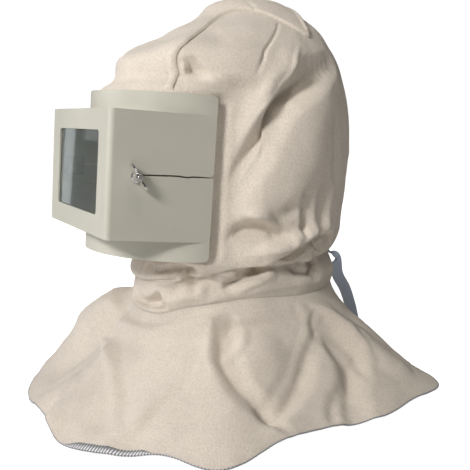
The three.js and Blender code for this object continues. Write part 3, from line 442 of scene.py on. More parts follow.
FINE_CAPE = [
    ("shelf line", False, [
        (-0.1002, 0.2694, 0.3, 0.1), (0.0052, 0.0449, 0.34, 0.35),
        (0.0594, 0.0403, 0.34, 0.4), (0.1074, 0.0784, 0.34, 0.4),
        (0.1525, 0.1423, 0.3, 0.4), (0.1881, 0.1749, 0.3, 0.3),
        (0.2236, 0.208, 0.3, 0.1),
    ]),
    ("shelf shade", False, [
        (0.1612, 0.1999, 0.36, -0.2), (0.1875, 0.2217, 0.36, -0.3),
        (0.2168, 0.2448, 0.34, -0.1),
    ]),
    ("near crease", False, [
        (0.1576, 0.1632, 0.234, -0.2), (0.1607, 0.3029, 0.364, -0.7),
        (0.1626, 0.413, 0.39, -0.7), (0.1721, 0.4888, 0.39, -0.7),
        (0.1825, 0.5654, 0.416, -0.8), (0.1952, 0.674, 0.442, -0.8),
        (0.202, 0.7677, 0.39, -0.5), (0.2063, 0.8325, 0.312, -0.2),
    ]),
    ("near lip", False, [
        (0.1496, 0.2351, 0.4, 0.1), (0.1515, 0.347, 0.4, 0.3),
        (0.1564, 0.4498, 0.4, 0.3),
    ]),
    ("wedge line", False, [
        (0.196, 0.2663, 0.26, 0.1), (0.1871, 0.3308, 0.338, 0.4),
        (0.1781, 0.3898, 0.338, 0.4), (0.1669, 0.4155, 0.26, 0.2),
    ]),
    ("wedge shade", False, [
        (0.1717, 0.2483, 0.4, -0.3), (0.1703, 0.3288, 0.4, -0.4),
    ]),
    ("shoulder line", False, [
        (0.272, 0.0639, 0.312, 0.1), (0.2794, 0.1767, 0.364, 0.35),
        (0.2754, 0.3058, 0.39, 0.5), (0.2598, 0.4213, 0.39, 0.5),
        (0.2492, 0.5343, 0.39, 0.5), (0.2375, 0.6449, 0.39, 0.5),
        (0.2204, 0.7493, 0.39, 0.5), (0.2075, 0.823, 0.338, 0.3),
    ]),
    ("shoulder shade", False, [
        (0.2597, 0.4594, 0.52, -0.2), (0.2512, 0.5802, 0.572, -0.5),
        (0.2391, 0.6878, 0.572, -0.6), (0.2225, 0.7871, 0.52, -0.6),
        (0.2101, 0.8498, 0.442, -0.4),
    ]),
    ("hem crease", False, [
        (0.205, 0.8418, 0.286, -0.4), (0.2106, 0.9024, 0.338, -0.4),
        (0.2168, 0.9751, 0.286, -0.1),
    ]),
    ("hem lip", False, [
        (0.1979, 0.8047, 0.4, 0.1), (0.2025, 0.8848, 0.4, 0.2),
        (0.211, 0.9717, 0.3, 0.05),
    ]),
    ("rear crease", False, [
        (0.2789, 0.071, 0.338, -0.1), (0.3018, 0.2261, 0.442, -0.4),
        (0.3159, 0.3664, 0.52, -0.6), (0.3219, 0.4935, 0.52, -0.8),
        (0.3241, 0.5865, 0.468, -0.8), (0.319, 0.6723, 0.442, -0.6),
        (0.3111, 0.7578, 0.338, -0.15),
    ]),
    ("rear lip", False, [
        (0.2996, 0.1216, 0.3, 0.1), (0.322, 0.2831, 0.34, 0.3),
        (0.3364, 0.4151, 0.36, 0.4), (0.3413, 0.5416, 0.34, 0.4),
        (0.3354, 0.6736, 0.3, 0.2),
    ]),
    ("pleat", False, [
        (0.2757, 0.7407, 0.338, -0.2), (0.2662, 0.8031, 0.442, -0.8),
        (0.258, 0.8753, 0.442, -1.0), (0.253, 0.9425, 0.39, -0.7),
    ]),
    ("pleat lip", False, [
        (0.279, 0.7683, 0.442, 0.2), (0.2675, 0.8516, 0.468, 0.5),
        (0.2591, 0.9326, 0.442, 0.4),
    ]),
    ("second pleat", False, [
        (0.3075, 0.616, 0.39, -0.2), (0.297, 0.6937, 0.468, -0.5),
        (0.2795, 0.7923, 0.468, -0.6), (0.2653, 0.9077, 0.442, -0.5),
    ]),
    ("front line", False, [
        (-0.0727, 0.4173, 0.24, 0.1), (-0.0119, 0.4251, 0.34, 0.35),
        (0.0231, 0.5248, 0.36, 0.3), (0.0542, 0.6584, 0.4, 0.3),
        (0.081, 0.8543, 0.34, 0.15),
    ]),
    ("front shade", False, [
        (-0.0072, 0.326, 0.4, -0.1), (0.0281, 0.4364, 0.44, -0.3),
        (0.0605, 0.6073, 0.44, -0.25), (0.086, 0.8192, 0.4, -0.1),
    ]),
    ("front nick", False, [
        (-0.0635, 0.4405, 0.2, -0.15), (-0.0294, 0.3562, 0.24, -0.4),
        (-0.0122, 0.2989, 0.22, -0.35), (-0.0044, 0.2466, 0.18, -0.1),
    ]),
    ("left line", False, [
        (-0.032, 0.6018, 0.34, 0.1), (-0.0129, 0.7503, 0.4, 0.35),
        (-0.0003, 0.8776, 0.4, 0.4), (0.0149, 0.9887, 0.34, 0.2),
    ]),
    ("left shade", False, [
        (-0.0038, 0.6004, 0.4, -0.1), (0.0055, 0.738, 0.44, -0.3),
        (0.0179, 0.855, 0.44, -0.3), (0.0303, 0.9466, 0.4, -0.1),
    ]),
    ("breast ridge", False, [
        (0.1093, 0.6158, 0.3, 0.1), (0.0999, 0.6877, 0.36, 0.35),
        (0.094, 0.7736, 0.36, 0.35), (0.0892, 0.8759, 0.3, 0.1),
    ]),
    ("breast shade", False, [
        (0.1176, 0.655, 0.36, -0.1), (0.1089, 0.7395, 0.4, -0.25),
        (0.1039, 0.8265, 0.36, -0.15),
    ]),
    ("centre dent", False, [
        (0.137, 0.4111, 0.3, -0.1), (0.1317, 0.4741, 0.34, -0.3),
        (0.1273, 0.5411, 0.3, -0.1),
    ]),
    ("neck pocket", False, [
        (-0.0998, 0.2355, 0.5, -0.5),
    ]),
]


def smooth(value, low, high):
    share = min(max((value - low) / (high - low), 0.0), 1.0)
    return share * share * (3 - 2 * share)


def lerp(a, b, share):
    return a + (b - a) * share


def between(table, t, closed=False):
    """A smooth row between the rows of a table, t from 0 to 1 or round a closed table."""
    count = len(table)
    if closed:
        place = (t % 1.0) * count
        first = int(place)
        ids = [(first + k) % count for k in (-1, 0, 1, 2)]
    else:
        place = min(max(t, 0.0), 1.0) * (count - 1)
        first = min(int(place), count - 2)
        ids = [min(max(first + k, 0), count - 1) for k in (-1, 0, 1, 2)]
    s = place - first
    row = []
    for a, b, c, d in zip(*(table[k] for k in ids)):
        slope_b = (c - a) / 2
        slope_c = (d - b) / 2
        rise = c - b
        bend = 3 * rise - 2 * slope_b - slope_c
        row.append(b + s * slope_b + s * s * bend + s**3 * (slope_b + slope_c - 2 * rise))
    return row


def on_oval(angle, half, front, back, square):
    cos = math.cos(angle)
    sin = math.sin(angle)
    power = 2 / (square if cos > 0 else BACK_SQUARE)
    x = half * math.copysign(abs(sin) ** power, sin)
    y = (back - front) / 2 - (back + front) / 2 * math.copysign(abs(cos) ** power, cos)
    return x, y


PITCH_COS = math.cos(VISOR_PITCH)
PITCH_SIN = math.sin(VISOR_PITCH)


def to_visor(p):
    """A point in the visor's own frame: across, back from its face, up."""
    y, z = p.y - VISOR.y, p.z - VISOR.z
    return Vector((p.x, y * PITCH_COS + z * PITCH_SIN, -y * PITCH_SIN + z * PITCH_COS))


def from_visor(x, y, z):
    return Vector((x, VISOR.y + y * PITCH_COS - z * PITCH_SIN, VISOR.z + y * PITCH_SIN + z * PITCH_COS))


def hug_flange(point, angle):
    """The canvas is held inside the curved flange; returns the point and how firmly it is held."""
    radius = FLANGE_RADIUS - SHELL - FLANGE_FIT
    local = to_visor(point)
    side = abs(angle - 2 * math.pi if angle > math.pi else angle)
    middle = max(math.cos(side / HUG_END * math.pi / 2), 0.0)
    above = local.z - FLANGE_TOP + BROW_TUCK * middle
    away = max(above, HUG_TUCK * middle - FLANGE_BOTTOM - local.z, 0.0)
    hold = (1 - smooth(away, HUG_OVER, HUG_OVER + HUG_FADE)) * (1 - smooth(side, HUG_HOLD, HUG_RELEASE))
    if hold <= 0:
        return point, 0.0
    path = side / HUG_END * math.pi / 2
    sign = -1 if angle > math.pi else 1
    if path < math.pi / 2:
        x, y = radius * math.sin(path), BOX_DEPTH - radius * math.cos(path)
    else:
        x, y = radius, BOX_DEPTH + radius * (path - math.pi / 2)
    held = Vector((sign * x, y, local.z))
    local = local.lerp(held, hold)
    return from_visor(*local), hold


def hood_plain(turn, level):
    angle = (turn - math.floor(turn)) * 2 * math.pi
    down, dip, lift, wide, fore, aft, square = between(HOOD_SECTIONS, level)
    front, back = fore * HOOD_DEPTH / 2, aft * HOOD_DEPTH / 2
    x, y = on_oval(angle, max(wide, 0) * HOOD_WIDTH / 2, front, back, square)
    ahead = max(math.cos(angle), 0) ** 2
    behind = max(-math.cos(angle), 0) ** 2
    z = -HOOD_DROP * (down + dip * ahead - lift * behind)
    z += SEAM_RISE * smooth(level, 0.9, 1.0) * smooth(angle, 0.3, 0.75) * (1 - smooth(angle, 1.15, 1.9))
    return hug_flange(Vector((x, y, z)), angle)


def hood_smooth(turn, level):
    return hood_plain(turn, level)[0]


def fold_lines(table, surface):
    """Stretches of each fold over a surface: start, end, width, depth and the fold's name."""
    lines = []
    for mirror in (False, True):
        sign = -1 if mirror else 1
        for name, twin, rows in table:
            if mirror and not twin:
                continue
            pairs = list(zip(rows, rows[1:])) or [(rows[0], rows[0])]
            for here, after in pairs:
                for k in range(FOLD_STRETCHES):
                    ends = []
                    for share in (k / FOLD_STRETCHES, (k + 1) / FOLD_STRETCHES):
                        turn = sign * lerp(here[0], after[0], share)
                        ends.append(surface(turn, lerp(here[1], after[1], share)))
                    share = k / FOLD_STRETCHES
                    width = lerp(here[2], after[2], share) * FOLD_WIDTH
                    depth = lerp(here[3], after[3], share) * FOLD_DEPTH
                    lines.append((*ends, width, depth, (name, mirror)))
    return in_cells(lines)


def in_cells(lines):
    """The fold stretches that can reach each cell of space, so that a point looks at few of them."""
    cells = {}
    for line in lines:
        start, end, width = line[:3]
        low = [math.floor((min(start[k], end[k]) - width) / FOLD_CELL) for k in range(3)]
        high = [math.floor((max(start[k], end[k]) + width) / FOLD_CELL) for k in range(3)]
        for i in range(low[0], high[0] + 1):
            for j in range(low[1], high[1] + 1):
                for k in range(low[2], high[2] + 1):
                    cells.setdefault((i, j, k), []).append(line)
    return cells


def fold_push(cells, point, crisp=False):
    """How far the folds move a point; crisp folds have a sharp valley line."""
    push = {}
    cell = tuple(math.floor(value / FOLD_CELL) for value in point)
    for start, end, width, depth, name in cells.get(cell, ()):
        spot, share = intersect_point_line(point, start, end)
        if share < 0:
            spot = start
        elif share > 1:
            spot = end
        apart = (spot - point).length / width
        if apart >= 1:
            continue
        amount = depth * (1 - apart * apart) ** 2
        if crisp and depth < 0:
            amount = (amount + depth * (1 - apart) ** 2) / 2
        if abs(amount) > abs(push.get(name, 0.0)):
            push[name] = amount
    return sum(push.values())


def outward(surface, turn, level):
    """The direction out of a surface."""
    step = 0.004
    down = surface(turn, level + step) - surface(turn, level - step)
    across = surface(turn + step, level) - surface(turn - step, level)
    return down.cross(across).normalized()


hood_lines = fold_lines(HOOD_FOLDS, hood_smooth)
hood_fine = fold_lines(FINE_HOOD, hood_smooth)


def drape(p, size):
    """Soft unevenness of worn canvas, in millimetres."""
    wide = noise.noise(Vector((p.x / 46, p.y / 46, p.z / 62)) + Vector((3.1, 7.7, 1.3)))
    fine = noise.noise(Vector((p.x / 17, p.y / 17, p.z / 26)) + Vector((9.2, 2.4, 5.5)))
    return size * (1.5 * wide + 0.5 * fine)


def behind_flange(p):
    """The canvas falls in a little behind the rear edge of the visor's flange."""
    q = to_visor(p)
    back = q.y - BOX_DEPTH - FALL_BEHIND
    if abs(q.x) < FALL_SIDE or abs(back) > FALL_REACH:
        return 0.0
    along = 1 - smooth(q.z - FLANGE_TOP, -10, 6) - smooth(-q.z - FLANGE_BOTTOM, -10, 6)
    across = 1 - (back / FALL_REACH) ** 2
    return FALL_DEPTH * max(along, 0) * across * across


def hood_at(turn, level, fine=True):
    point, hold = hood_plain(turn, level)
    push = fold_push(hood_lines, point)
    if fine:
        creased = HOOD_FINE_SHARE * fold_push(hood_fine, point, True) + drape(point, 1.0)
        push += creased * (1 - smooth(level, 0.94, 0.995))
    push *= 1 - hold
    if fine:
        push -= behind_flange(point)
    if abs(push) < 1e-6:
        return point
    return point + outward(hood_smooth, turn, level) * push


def cape_plain(turn, level):
    angle = turn * 2 * math.pi
    out, down = between(CAPE_SECTIONS, level)
    reach, rise = between(HEM_WAVES, turn, True)
    neck = neck_ring(turn)
    hem_x, hem_y = on_oval(angle, CAPE_WIDTH / 2, CAPE_DEPTH / 2, CAPE_DEPTH / 2, 2.2)
    hem_z = -HOOD_DROP - CAPE_DROP * (1 - rise) - CAPE_DIP * abs(math.cos(angle)) ** 1.5
    return Vector(
        (
            lerp(neck.x, hem_x * reach, out),
            lerp(neck.y, hem_y * reach, out),
            lerp(neck.z, hem_z, down) - SEAM_GAP,
        )
    )


ring = {}


def neck_ring(turn):
    key = round((turn % 1.0) * 4000)
    if key not in ring:
        ring[key] = hood_at(key / 4000, 1.0, fine=False)
    return ring[key]


cape_lines = fold_lines(CAPE_FOLDS, cape_plain)
cape_fine = fold_lines(FINE_CAPE, cape_plain)


def cape_at(turn, level, fine=True):
    point = cape_plain(turn, level)
    push = fold_push(cape_lines, point)
    if fine:
        push += CAPE_FINE_SHARE * fold_push(cape_fine, point, True) + drape(point, 1.3)
    push *= smooth(level, 0, 0.2)
    if abs(push) < 1e-6:
        return point
    return point + outward(cape_plain, turn, level) * push


# Half the crown band's width, by degrees round the fan from the crown
BAND_HALF = [
    (-112, 89), (-68, 89), (-64, 84), (-60, 77),
    (-56, 75), (-50, 76), (-44, 76), (-40, 72),
    (-36, 66), (-32, 60), (-24, 49), (-20, 43),
    (-16, 38.5), (-12, 36), (-8, 38), (-4, 43),
    (0, 50), (4, 57.5), (8, 66), (12, 75),
    (16, 83), (20, 89), (24, 92), (60, 92),
]


def band_half(angle):
    place = math.degrees(angle)
    for (a, low), (b, high) in zip(BAND_HALF, BAND_HALF[1:]):
        if place <= b:
            return lerp(low, high, min(max((place - a) / (b - a), 0.0), 1.0))
    return BAND_HALF[-1][1]


def fan_angle(p):
    return math.atan2(p.y - FAN_Y, p.z - FAN_Z)


def under_band(p, margin):
    angle = fan_angle(p)
    ahead_of_end = angle < FAN_END - margin / FAN_REACH
    return p.z > BAND_LOWEST and ahead_of_end and abs(p.x) < band_half(angle) - margin


def in_face_opening(p):
    q = to_visor(p)
    return (
        abs(q.x) < FLANGE_RADIUS + FACE_SIDE
        and q.y < BOX_DEPTH - FACE_LAP
        and -BOX_REAR_BOTTOM + FACE_EDGE < q.z < BOX_TOP - FACE_EDGE
    )


# Materials


def new_material(name):
    material = bpy.data.materials.new(name)
    material.use_nodes = True
    tree = material.node_tree
    return material, tree, tree.nodes["Principled BSDF"]


def node(tree, kind, **values):
    made = tree.nodes.new(kind)
    for key, value in values.items():
        if key in made.inputs:
            made.inputs[key].default_value = value
        else:
            setattr(made, key, value)
    return made


def object_noise(tree, scale, detail, roughness):
    place = tree.nodes.new("ShaderNodeTexCoord")
    made = node(tree, "ShaderNodeTexNoise", Scale=scale, Detail=detail, Roughness=roughness)
    tree.links.new(place.outputs["Object"], made.inputs["Vector"])
    return made.outputs["Fac"]


def spread(tree, source, low, high):
    made = node(tree, "ShaderNodeMapRange")
    made.inputs["To Min"].default_value = low
    made.inputs["To Max"].default_value = high
    tree.links.new(source, made.inputs["Value"])
    return made.outputs["Result"]


def crossed_waves(tree, scales, distortion, detail, detail_scale):
    """Two sets of threads over the UV map, across each other."""
    weave = tree.nodes.new("ShaderNodeUVMap")
    both = node(tree, "ShaderNodeMath", operation="MULTIPLY")
    for k, direction in enumerate("XY"):
        wave = node(tree, "ShaderNodeTexWave", Scale=scales[k], Distortion=distortion, Detail=detail)
        wave.inputs["Detail Scale"].default_value = detail_scale
        wave.bands_direction = direction
        tree.links.new(weave.outputs["UV"], wave.inputs["Vector"])
        tree.links.new(wave.outputs["Fac"], both.inputs[k])
    return both.outputs["Value"]


def bump(tree, height, strength, distance, under=None):
    made = node(tree, "ShaderNodeBump", Strength=strength, Distance=distance)
    tree.links.new(height, made.inputs["Height"])
    if under is not None:
        tree.links.new(under, made.inputs["Normal"])
    return made.outputs["Normal"]


def ramp(tree, source, stops):
    made = tree.nodes.new("ShaderNodeValToRGB")
    elements = made.color_ramp.elements
    while len(elements) < len(stops):
        elements.new(0.5)
    for element, (place, colour) in zip(elements, stops):
        element.position = place
        element.color = (*colour, 1)
    tree.links.new(source, made.inputs["Fac"])
    return made.outputs["Color"]


WEFT_SHARE = 1.15


def canvas_material(name, tint, ribs):
    """Unbleached canvas: a fine weave with slubs, fuzz and soft soiling."""
    material, tree, shader = new_material(name)
    links = tree.links
    weave = crossed_waves(tree, (ribs, ribs * WEFT_SHARE), 1.6, 2.0, 3.0)
    fuzz = object_noise(tree, 900.0, 4.0, 0.65)
    mottle = object_noise(tree, 34.0, 6.0, 0.62)
    slub = object_noise(tree, 420.0, 3.0, 0.6)
    light = tuple(min(c * 1.05, 1) for c in tint)
    dark = tuple(c * 0.93 for c in tint)
    colour = ramp(tree, mottle, [(0.25, dark), (0.5, tint), (0.8, light)])
    threads = ramp(tree, weave, [(0.0, (0.88, 0.86, 0.83)), (0.6, (1, 1, 1))])
    flecks = ramp(tree, slub, [(0.3, (0.84, 0.82, 0.79)), (0.6, (1, 1, 1))])
    for layer, share in ((threads, 0.8), (flecks, 0.9)):
        mix = node(tree, "ShaderNodeMix", data_type="RGBA", blend_type="MULTIPLY")
        mix.inputs["Factor"].default_value = share
        links.new(colour, mix.inputs["A"])
        links.new(layer, mix.inputs["B"])
        colour = mix.outputs["Result"]
    links.new(colour, shader.inputs["Base Color"])
    shader.inputs["Roughness"].default_value = 0.95
    shader.inputs["Specular IOR Level"].default_value = 0.15
    shader.inputs["Sheen Weight"].default_value = 0.25
    shader.inputs["Sheen Roughness"].default_value = 0.6
    relief = bump(tree, weave, 0.8, 0.0005)
    relief = bump(tree, fuzz, 0.35, 0.0005, relief)
    links.new(bump(tree, slub, 0.3, 0.0012, relief), shader.inputs["Normal"])
    return material


def moulded_material(name, tint, rough, grain):
    """Moulded plastic with a fine spark grain and a little uneven gloss."""
    material, tree, shader = new_material(name)
    links = tree.links
    grains = object_noise(tree, grain, 3.0, 0.6)
    cloud = object_noise(tree, 9.0, 4.0, 0.55)
    light = tuple(min(c * 1.03, 1) for c in tint)
    dark = tuple(c * 0.95 for c in tint)
    links.new(ramp(tree, cloud, [(0.35, dark), (0.65, light)]), shader.inputs["Base Color"])
    links.new(spread(tree, cloud, rough - 0.06, rough + 0.08), shader.inputs["Roughness"])
    links.new(bump(tree, grains, 0.12, 0.0002), shader.inputs["Normal"])
    return material


def steel_material(name):
    """Bright zinc-plated steel, a little brushed and smudged."""
    material, tree, shader = new_material(name)
    links = tree.links
    smudge = object_noise(tree, 260.0, 4.0, 0.6)
    colours = ramp(tree, smudge, [(0.3, (0.72, 0.72, 0.71)), (0.7, (0.93, 0.93, 0.92))])
    links.new(colours, shader.inputs["Base Color"])
    links.new(spread(tree, smudge, 0.14, 0.34), shader.inputs["Roughness"])
    shader.inputs["Metallic"].default_value = 1.0
    links.new(bump(tree, smudge, 0.1, 0.0002), shader.inputs["Normal"])
    return material


def glass_material(name):
    """Clear pane with a faint film of dust."""
    material, tree, shader = new_material(name)
    dust = object_noise(tree, 60.0, 6.0, 0.6)
    tree.links.new(spread(tree, dust, 0.0, 0.06), shader.inputs["Roughness"])
    shader.inputs["Base Color"].default_value = (0.72, 0.78, 0.74, 1)
    shader.inputs["Transmission Weight"].default_value = 0.92
    shader.inputs["IOR"].default_value = 1.5
    return material


def tape_material(name, tint, rib_scale=260.0, shade=0.8, thread_scale=420.0):
    """Woven cotton tape or thread with a close rib across it."""
    material, tree, shader = new_material(name)
    links = tree.links
    weave = crossed_waves(tree, (thread_scale, rib_scale), 0.6, 1.0, 1.0)
    dark = tuple(c * shade for c in tint)
    links.new(ramp(tree, weave, [(0.0, dark), (0.7, tint)]), shader.inputs["Base Color"])
    shader.inputs["Roughness"].default_value = 0.85
    shader.inputs["Sheen Weight"].default_value = 0.2
    links.new(bump(tree, weave, 0.5, 0.0004), shader.inputs["Normal"])
    return material


canvas = canvas_material("unbleached canvas", (0.87, 0.795, 0.70), 240.0)
moulding = moulded_material("grey-beige moulding", (0.56, 0.55, 0.47), 0.42, 1500.0)
holder_moulding = moulded_material("grey holder moulding", (0.30, 0.30, 0.27), 0.5, 1500.0)
steel = steel_material("bright steel")
pane_glass = glass_material("window pane")
tape_cloth = tape_material("blue-grey tape", (0.70, 0.80, 1.0))
edging = tape_material("grey overlock thread", (0.86, 0.86, 0.89), 75.0, 0.18, 79.0)
thread = moulded_material("sewing thread", (0.74, 0.68, 0.60), 0.8, 3000.0)

# Meshes


def new_piece(name, bm, material, body):
    mesh = bpy.data.meshes.new(name)
    bm.to_mesh(mesh)
    bm.free()
    mesh.materials.append(material)
    for polygon in mesh.polygons:
        polygon.use_smooth = True
    piece = bpy.data.objects.new(name, mesh)
    bpy.context.scene.collection.objects.link(piece)
    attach(piece, body)
    return piece


def surface_grid(columns, rows, place, cut_width, cut_height, closed=False, flip=True):
    """A grid laid on a surface: place takes two shares from 0 to 1; the UV map is in metres of cloth."""
    bm = bmesh.new()
    bmesh.ops.create_grid(bm, x_segments=columns, y_segments=rows, size=0.5)
    uv = bm.loops.layers.uv.new("cloth")
    shares = {}
    for v in bm.verts:
        shares[v] = (v.co.x + 0.5, v.co.y + 0.5)
    for face in bm.faces:
        for loop in face.loops:
            a, b = shares[loop.vert]
            loop[uv].uv = (a * cut_width, b * cut_height)
    for v, (a, b) in shares.items():
        v.co = place(a, b)
    if closed:
        bmesh.ops.remove_doubles(bm, verts=bm.verts, dist=1e-6)
    if flip:
        bmesh.ops.reverse_faces(bm, faces=bm.faces)
    return bm


def wall(piece, thickness):
    modifier = piece.modifiers.new("wall", "SOLIDIFY")
    modifier.thickness = thickness
    modifier.offset = -1
    modifier.use_even_offset = False


fine = 1.0

# The hood is two side panels that meet in the middle; the left one, with the deeper folds, is finer
SIDES = [("left_side_canvas", 0.0, 238, 200), ("right_side_canvas", 0.5, 130, 140)]
both_sides = bmesh.new()
side_pieces = []
for name, start_turn, columns, rows in SIDES:
    side_bm = surface_grid(
        int(columns * fine),
        int(rows * fine),
        lambda a, b, start_turn=start_turn: hood_at(start_turn + a / 2, b) * MM,
        0.45,
        0.46,
    )
    side_mesh = bpy.data.meshes.new("side")
    side_bm.to_mesh(side_mesh)
    both_sides.from_mesh(side_mesh)
    bpy.data.meshes.remove(side_mesh)
    side_pieces.append((name, side_bm))
hood_tree = BVHTree.FromBMesh(both_sides)
both_sides.free()
for name, side_bm in side_pieces:
    gone = []
    for face in side_bm.faces:
        corners = [v.co / MM for v in face.verts]
        covered = all(under_band(p, BAND_UNDERLAP) for p in corners)
        if covered or all(in_face_opening(p) for p in corners):
            gone.append(face)
    bmesh.ops.delete(side_bm, geom=gone, context="FACES")
    side_cloth = new_piece(name, side_bm, canvas, "hood")
    wall(side_cloth, CLOTH * MM)
    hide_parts("hood_body")

# The crown band is laid over the sides and turned down at its seams
def band_at(a, b):
    angle = lerp(FAN_START, FAN_END, b)
    half = band_half(angle)
    x = lerp(-half, half, a)
    heading = Vector((0, math.sin(angle), math.cos(angle)))
    start = Vector((x, FAN_Y, FAN_Z)) * MM
    hit, normal, _, _ = hood_tree.ray_cast(start, heading)
    if hit is None:
        hit, normal, _, _ = hood_tree.find_nearest(start + heading * 0.15)
    if normal.dot(heading) < 0:
        normal = -normal
    inner = min(half - abs(x), (FAN_END - angle) * FAN_REACH)
    local = to_visor(hit / MM)
    free = smooth(local.z - FLANGE_TOP, 0.5, 7)
    edge = smooth(inner, 0, 2.2)
    roll = math.sin(math.pi * min(inner / BAND_EDGE, 1.0)) if inner < BAND_EDGE else 0.0
    stitch = BAND_STITCH_DIP * math.exp(-(((inner - BAND_EDGE) / 1.3) ** 2))
    cross = BAND_CROSS_DIP * math.exp(-(((math.degrees(angle) - BAND_CROSS_SEAM) / 0.9) ** 2))
    cross *= 1 - smooth(inner, 10, 26)
    lift = (BAND_LIFT * edge + BAND_ROLL * roll * edge - stitch - cross * edge) * free - 0.3
    return hit + normal * lift * MM


band_bm = surface_grid(int(100 * fine), int(200 * fine), band_at, 0.13, 0.38, flip=False)
band_gone = [f for f in band_bm.faces if all(in_face_opening(v.co / MM) for v in f.verts)]
bmesh.ops.delete(band_bm, geom=band_gone, context="FACES")
band = new_piece("crown_band_canvas", band_bm, canvas, "hood")
wall(band, 1.6 * MM)
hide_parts("crown_band")

cape_bm = surface_grid(
    int(300 * fine), int(90 * fine), lambda a, b: cape_at(a, b) * MM, 1.5, 0.24, closed=True
)
cape = new_piece("cape_canvas", cape_bm, canvas, "hood")
wall(cape, CLOTH * MM)
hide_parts("cape")


def edging_at(a, b):
    """Overlock thread on the inside of the hem, turned up to the outside where the front hem lifts."""
    point = cape_at(a, 1.0)
    shown = 0.3 + EDGE_FOLD * smooth(a, 0.045, 0.06) * (1 - smooth(a, 0.105, 0.12))
    up = (cape_at(a, 0.985) - point).normalized()
    out = outward(cape_plain, a, 0.99)
    ripple = EDGE_RIPPLE * math.sin(a * 2 * math.pi * EDGE_RIPPLES)
    if b < 0.2:
        away = out * (EDGE_STAND + ripple) + up * lerp(shown, 0.0, b / 0.2)
    elif b > 0.8:
        away = out * (-CLOTH - EDGE_STAND) + up * lerp(0.0, EDGE_FOLD, (b - 0.8) / 0.2)
    else:
        s = (b - 0.2) / 0.6 * math.pi
        round_edge = (CLOTH / 2 + EDGE_STAND) * math.cos(s) - CLOTH / 2
        away = out * round_edge - up * (0.8 + ripple) * math.sin(s)
    return (point + away) * MM


edge_bm = surface_grid(int(1400 * fine), 10, edging_at, 1.7, 0.012, closed=True)
edge = new_piece("hem_overlock", edge_bm, edging, "hood")

# Stitches: short rounded threads along the seams


def stitch_row(bm, path, normal, count):
    """path and normal take a share of the row and give millimetres and a direction."""
    for first in range(0, count, STITCHES_AT_ONCE):
        few = bmesh.new()
        for k in range(first, min(first + STITCHES_AT_ONCE, count)):
            here = path((k + 0.5) / count)
            ahead = (path((k + 0.7) / count) - path((k + 0.3) / count)).normalized()
            out = normal((k + 0.5) / count)
            side = ahead.cross(out).normalized()
            made = bmesh.ops.create_uvsphere(few, u_segments=6, v_segments=4, radius=0.5)
            for v in made["verts"]:
                x, y, z = v.co
                flat = side * x * 0.7 + out * (y * 0.5 + 0.1)
                v.co = (here + ahead * z * STITCH_LENGTH + flat) * MM
        mesh = bpy.data.meshes.new("few stitches")
        few.to_mesh(mesh)
        few.free()
        bm.from_mesh(mesh)
        bpy.data.meshes.remove(mesh)


stitch_bm = bmesh.new()
for level, count in ((0.93, 400), (0.955, 400)):
    stitch_row(
        stitch_bm,
        lambda t, level=level: cape_at(t, level),
        lambda t, level=level: outward(cape_plain, t, level),
        count,
    )
stitch_row(stitch_bm, lambda t: hood_at(t, 0.985), lambda t: outward(hood_smooth, t, 0.985), 170)
new_piece("hem_and_neck_stitches", stitch_bm, thread, "hood")


def band_seam(t, side):
    """A place on the sewn line of the band, t from the brow to near its rear end."""
    from_edge = BAND_EDGE / 2 / band_half(lerp(FAN_BROW, FAN_END, t))
    across = from_edge if side == 0 else 1 - from_edge
    return band_at(across, lerp((FAN_BROW - FAN_START) / (FAN_END - FAN_START), 0.97, t)) / MM


band_stitch_bm = bmesh.new()
for side in (0, 1):
    stitch_row(
        band_stitch_bm,
        lambda t: band_seam(t, side),
        lambda t: (band_seam(t, side) - Vector((0, FAN_Y, FAN_Z))).normalized(),
        62,
    )
new_piece("crown_band_stitches", band_stitch_bm, thread, "hood")

# Hard pieces are finished copies of the CAD solids: merged, flattened and with soft edges


def finished_copy(name, source, material, body, edge_width, sharp=28):
    bm = bmesh.new()
    bm.from_mesh(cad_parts[source].data)
    bmesh.ops.remove_doubles(bm, verts=bm.verts, dist=1e-5)
    bmesh.ops.dissolve_limit(bm, angle_limit=math.radians(1.0), verts=bm.verts, edges=bm.edges)
    piece = new_piece(name, bm, material, body)
    soften = piece.modifiers.new("soft edges", "BEVEL")
    soften.width = edge_width * MM
    soften.segments = 3
    soften.limit_method = "ANGLE"
    soften.angle_limit = math.radians(sharp)
    soften.use_clamp_overlap = True
    soften.harden_normals = True
    even = piece.modifiers.new("even shading", "WEIGHTED_NORMAL")
    even.keep_sharp = True
    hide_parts(source)
    return piece


finished_copy("visor_moulding", "visor_shell", moulding, "hood", 0.8)
finished_copy("pane", "window_glass", pane_glass, "hood", 0.3)
finished_copy("pane_holder", "glass_holder", holder_moulding, "hood", 0.4)
for side in ("left", "right"):
    finished_copy(side + "_bolt", side + "_wing_bolt", steel, "hood", 0.4)
    finished_copy(side + "_plain_washer", side + "_washer", steel, side + "_washer", 0.2)
    finished_copy(side + "_nut", side + "_wing_nut", steel, side + "_wing_nut", 0.6)

# Tape


def catmull(points, t):
    """Uniform Catmull-Rom curve through points, t from 0 to 1."""
    last = len(points) - 1
    place = min(max(t, 0.0), 1.0) * last
    k = min(int(place), last - 1)
    s = place - k
    a = points[k - 1] if k else points[0] * 2 - points[1]
    b, c = points[k], points[k + 1]
    d = points[k + 2] if k + 2 <= last else points[last] * 2 - points[last - 1]
    square = 2 * a - 5 * b + 4 * c - d
    return 0.5 * (2 * b + (c - a) * s + square * s * s + (3 * b - 3 * c + d - a) * s**3)


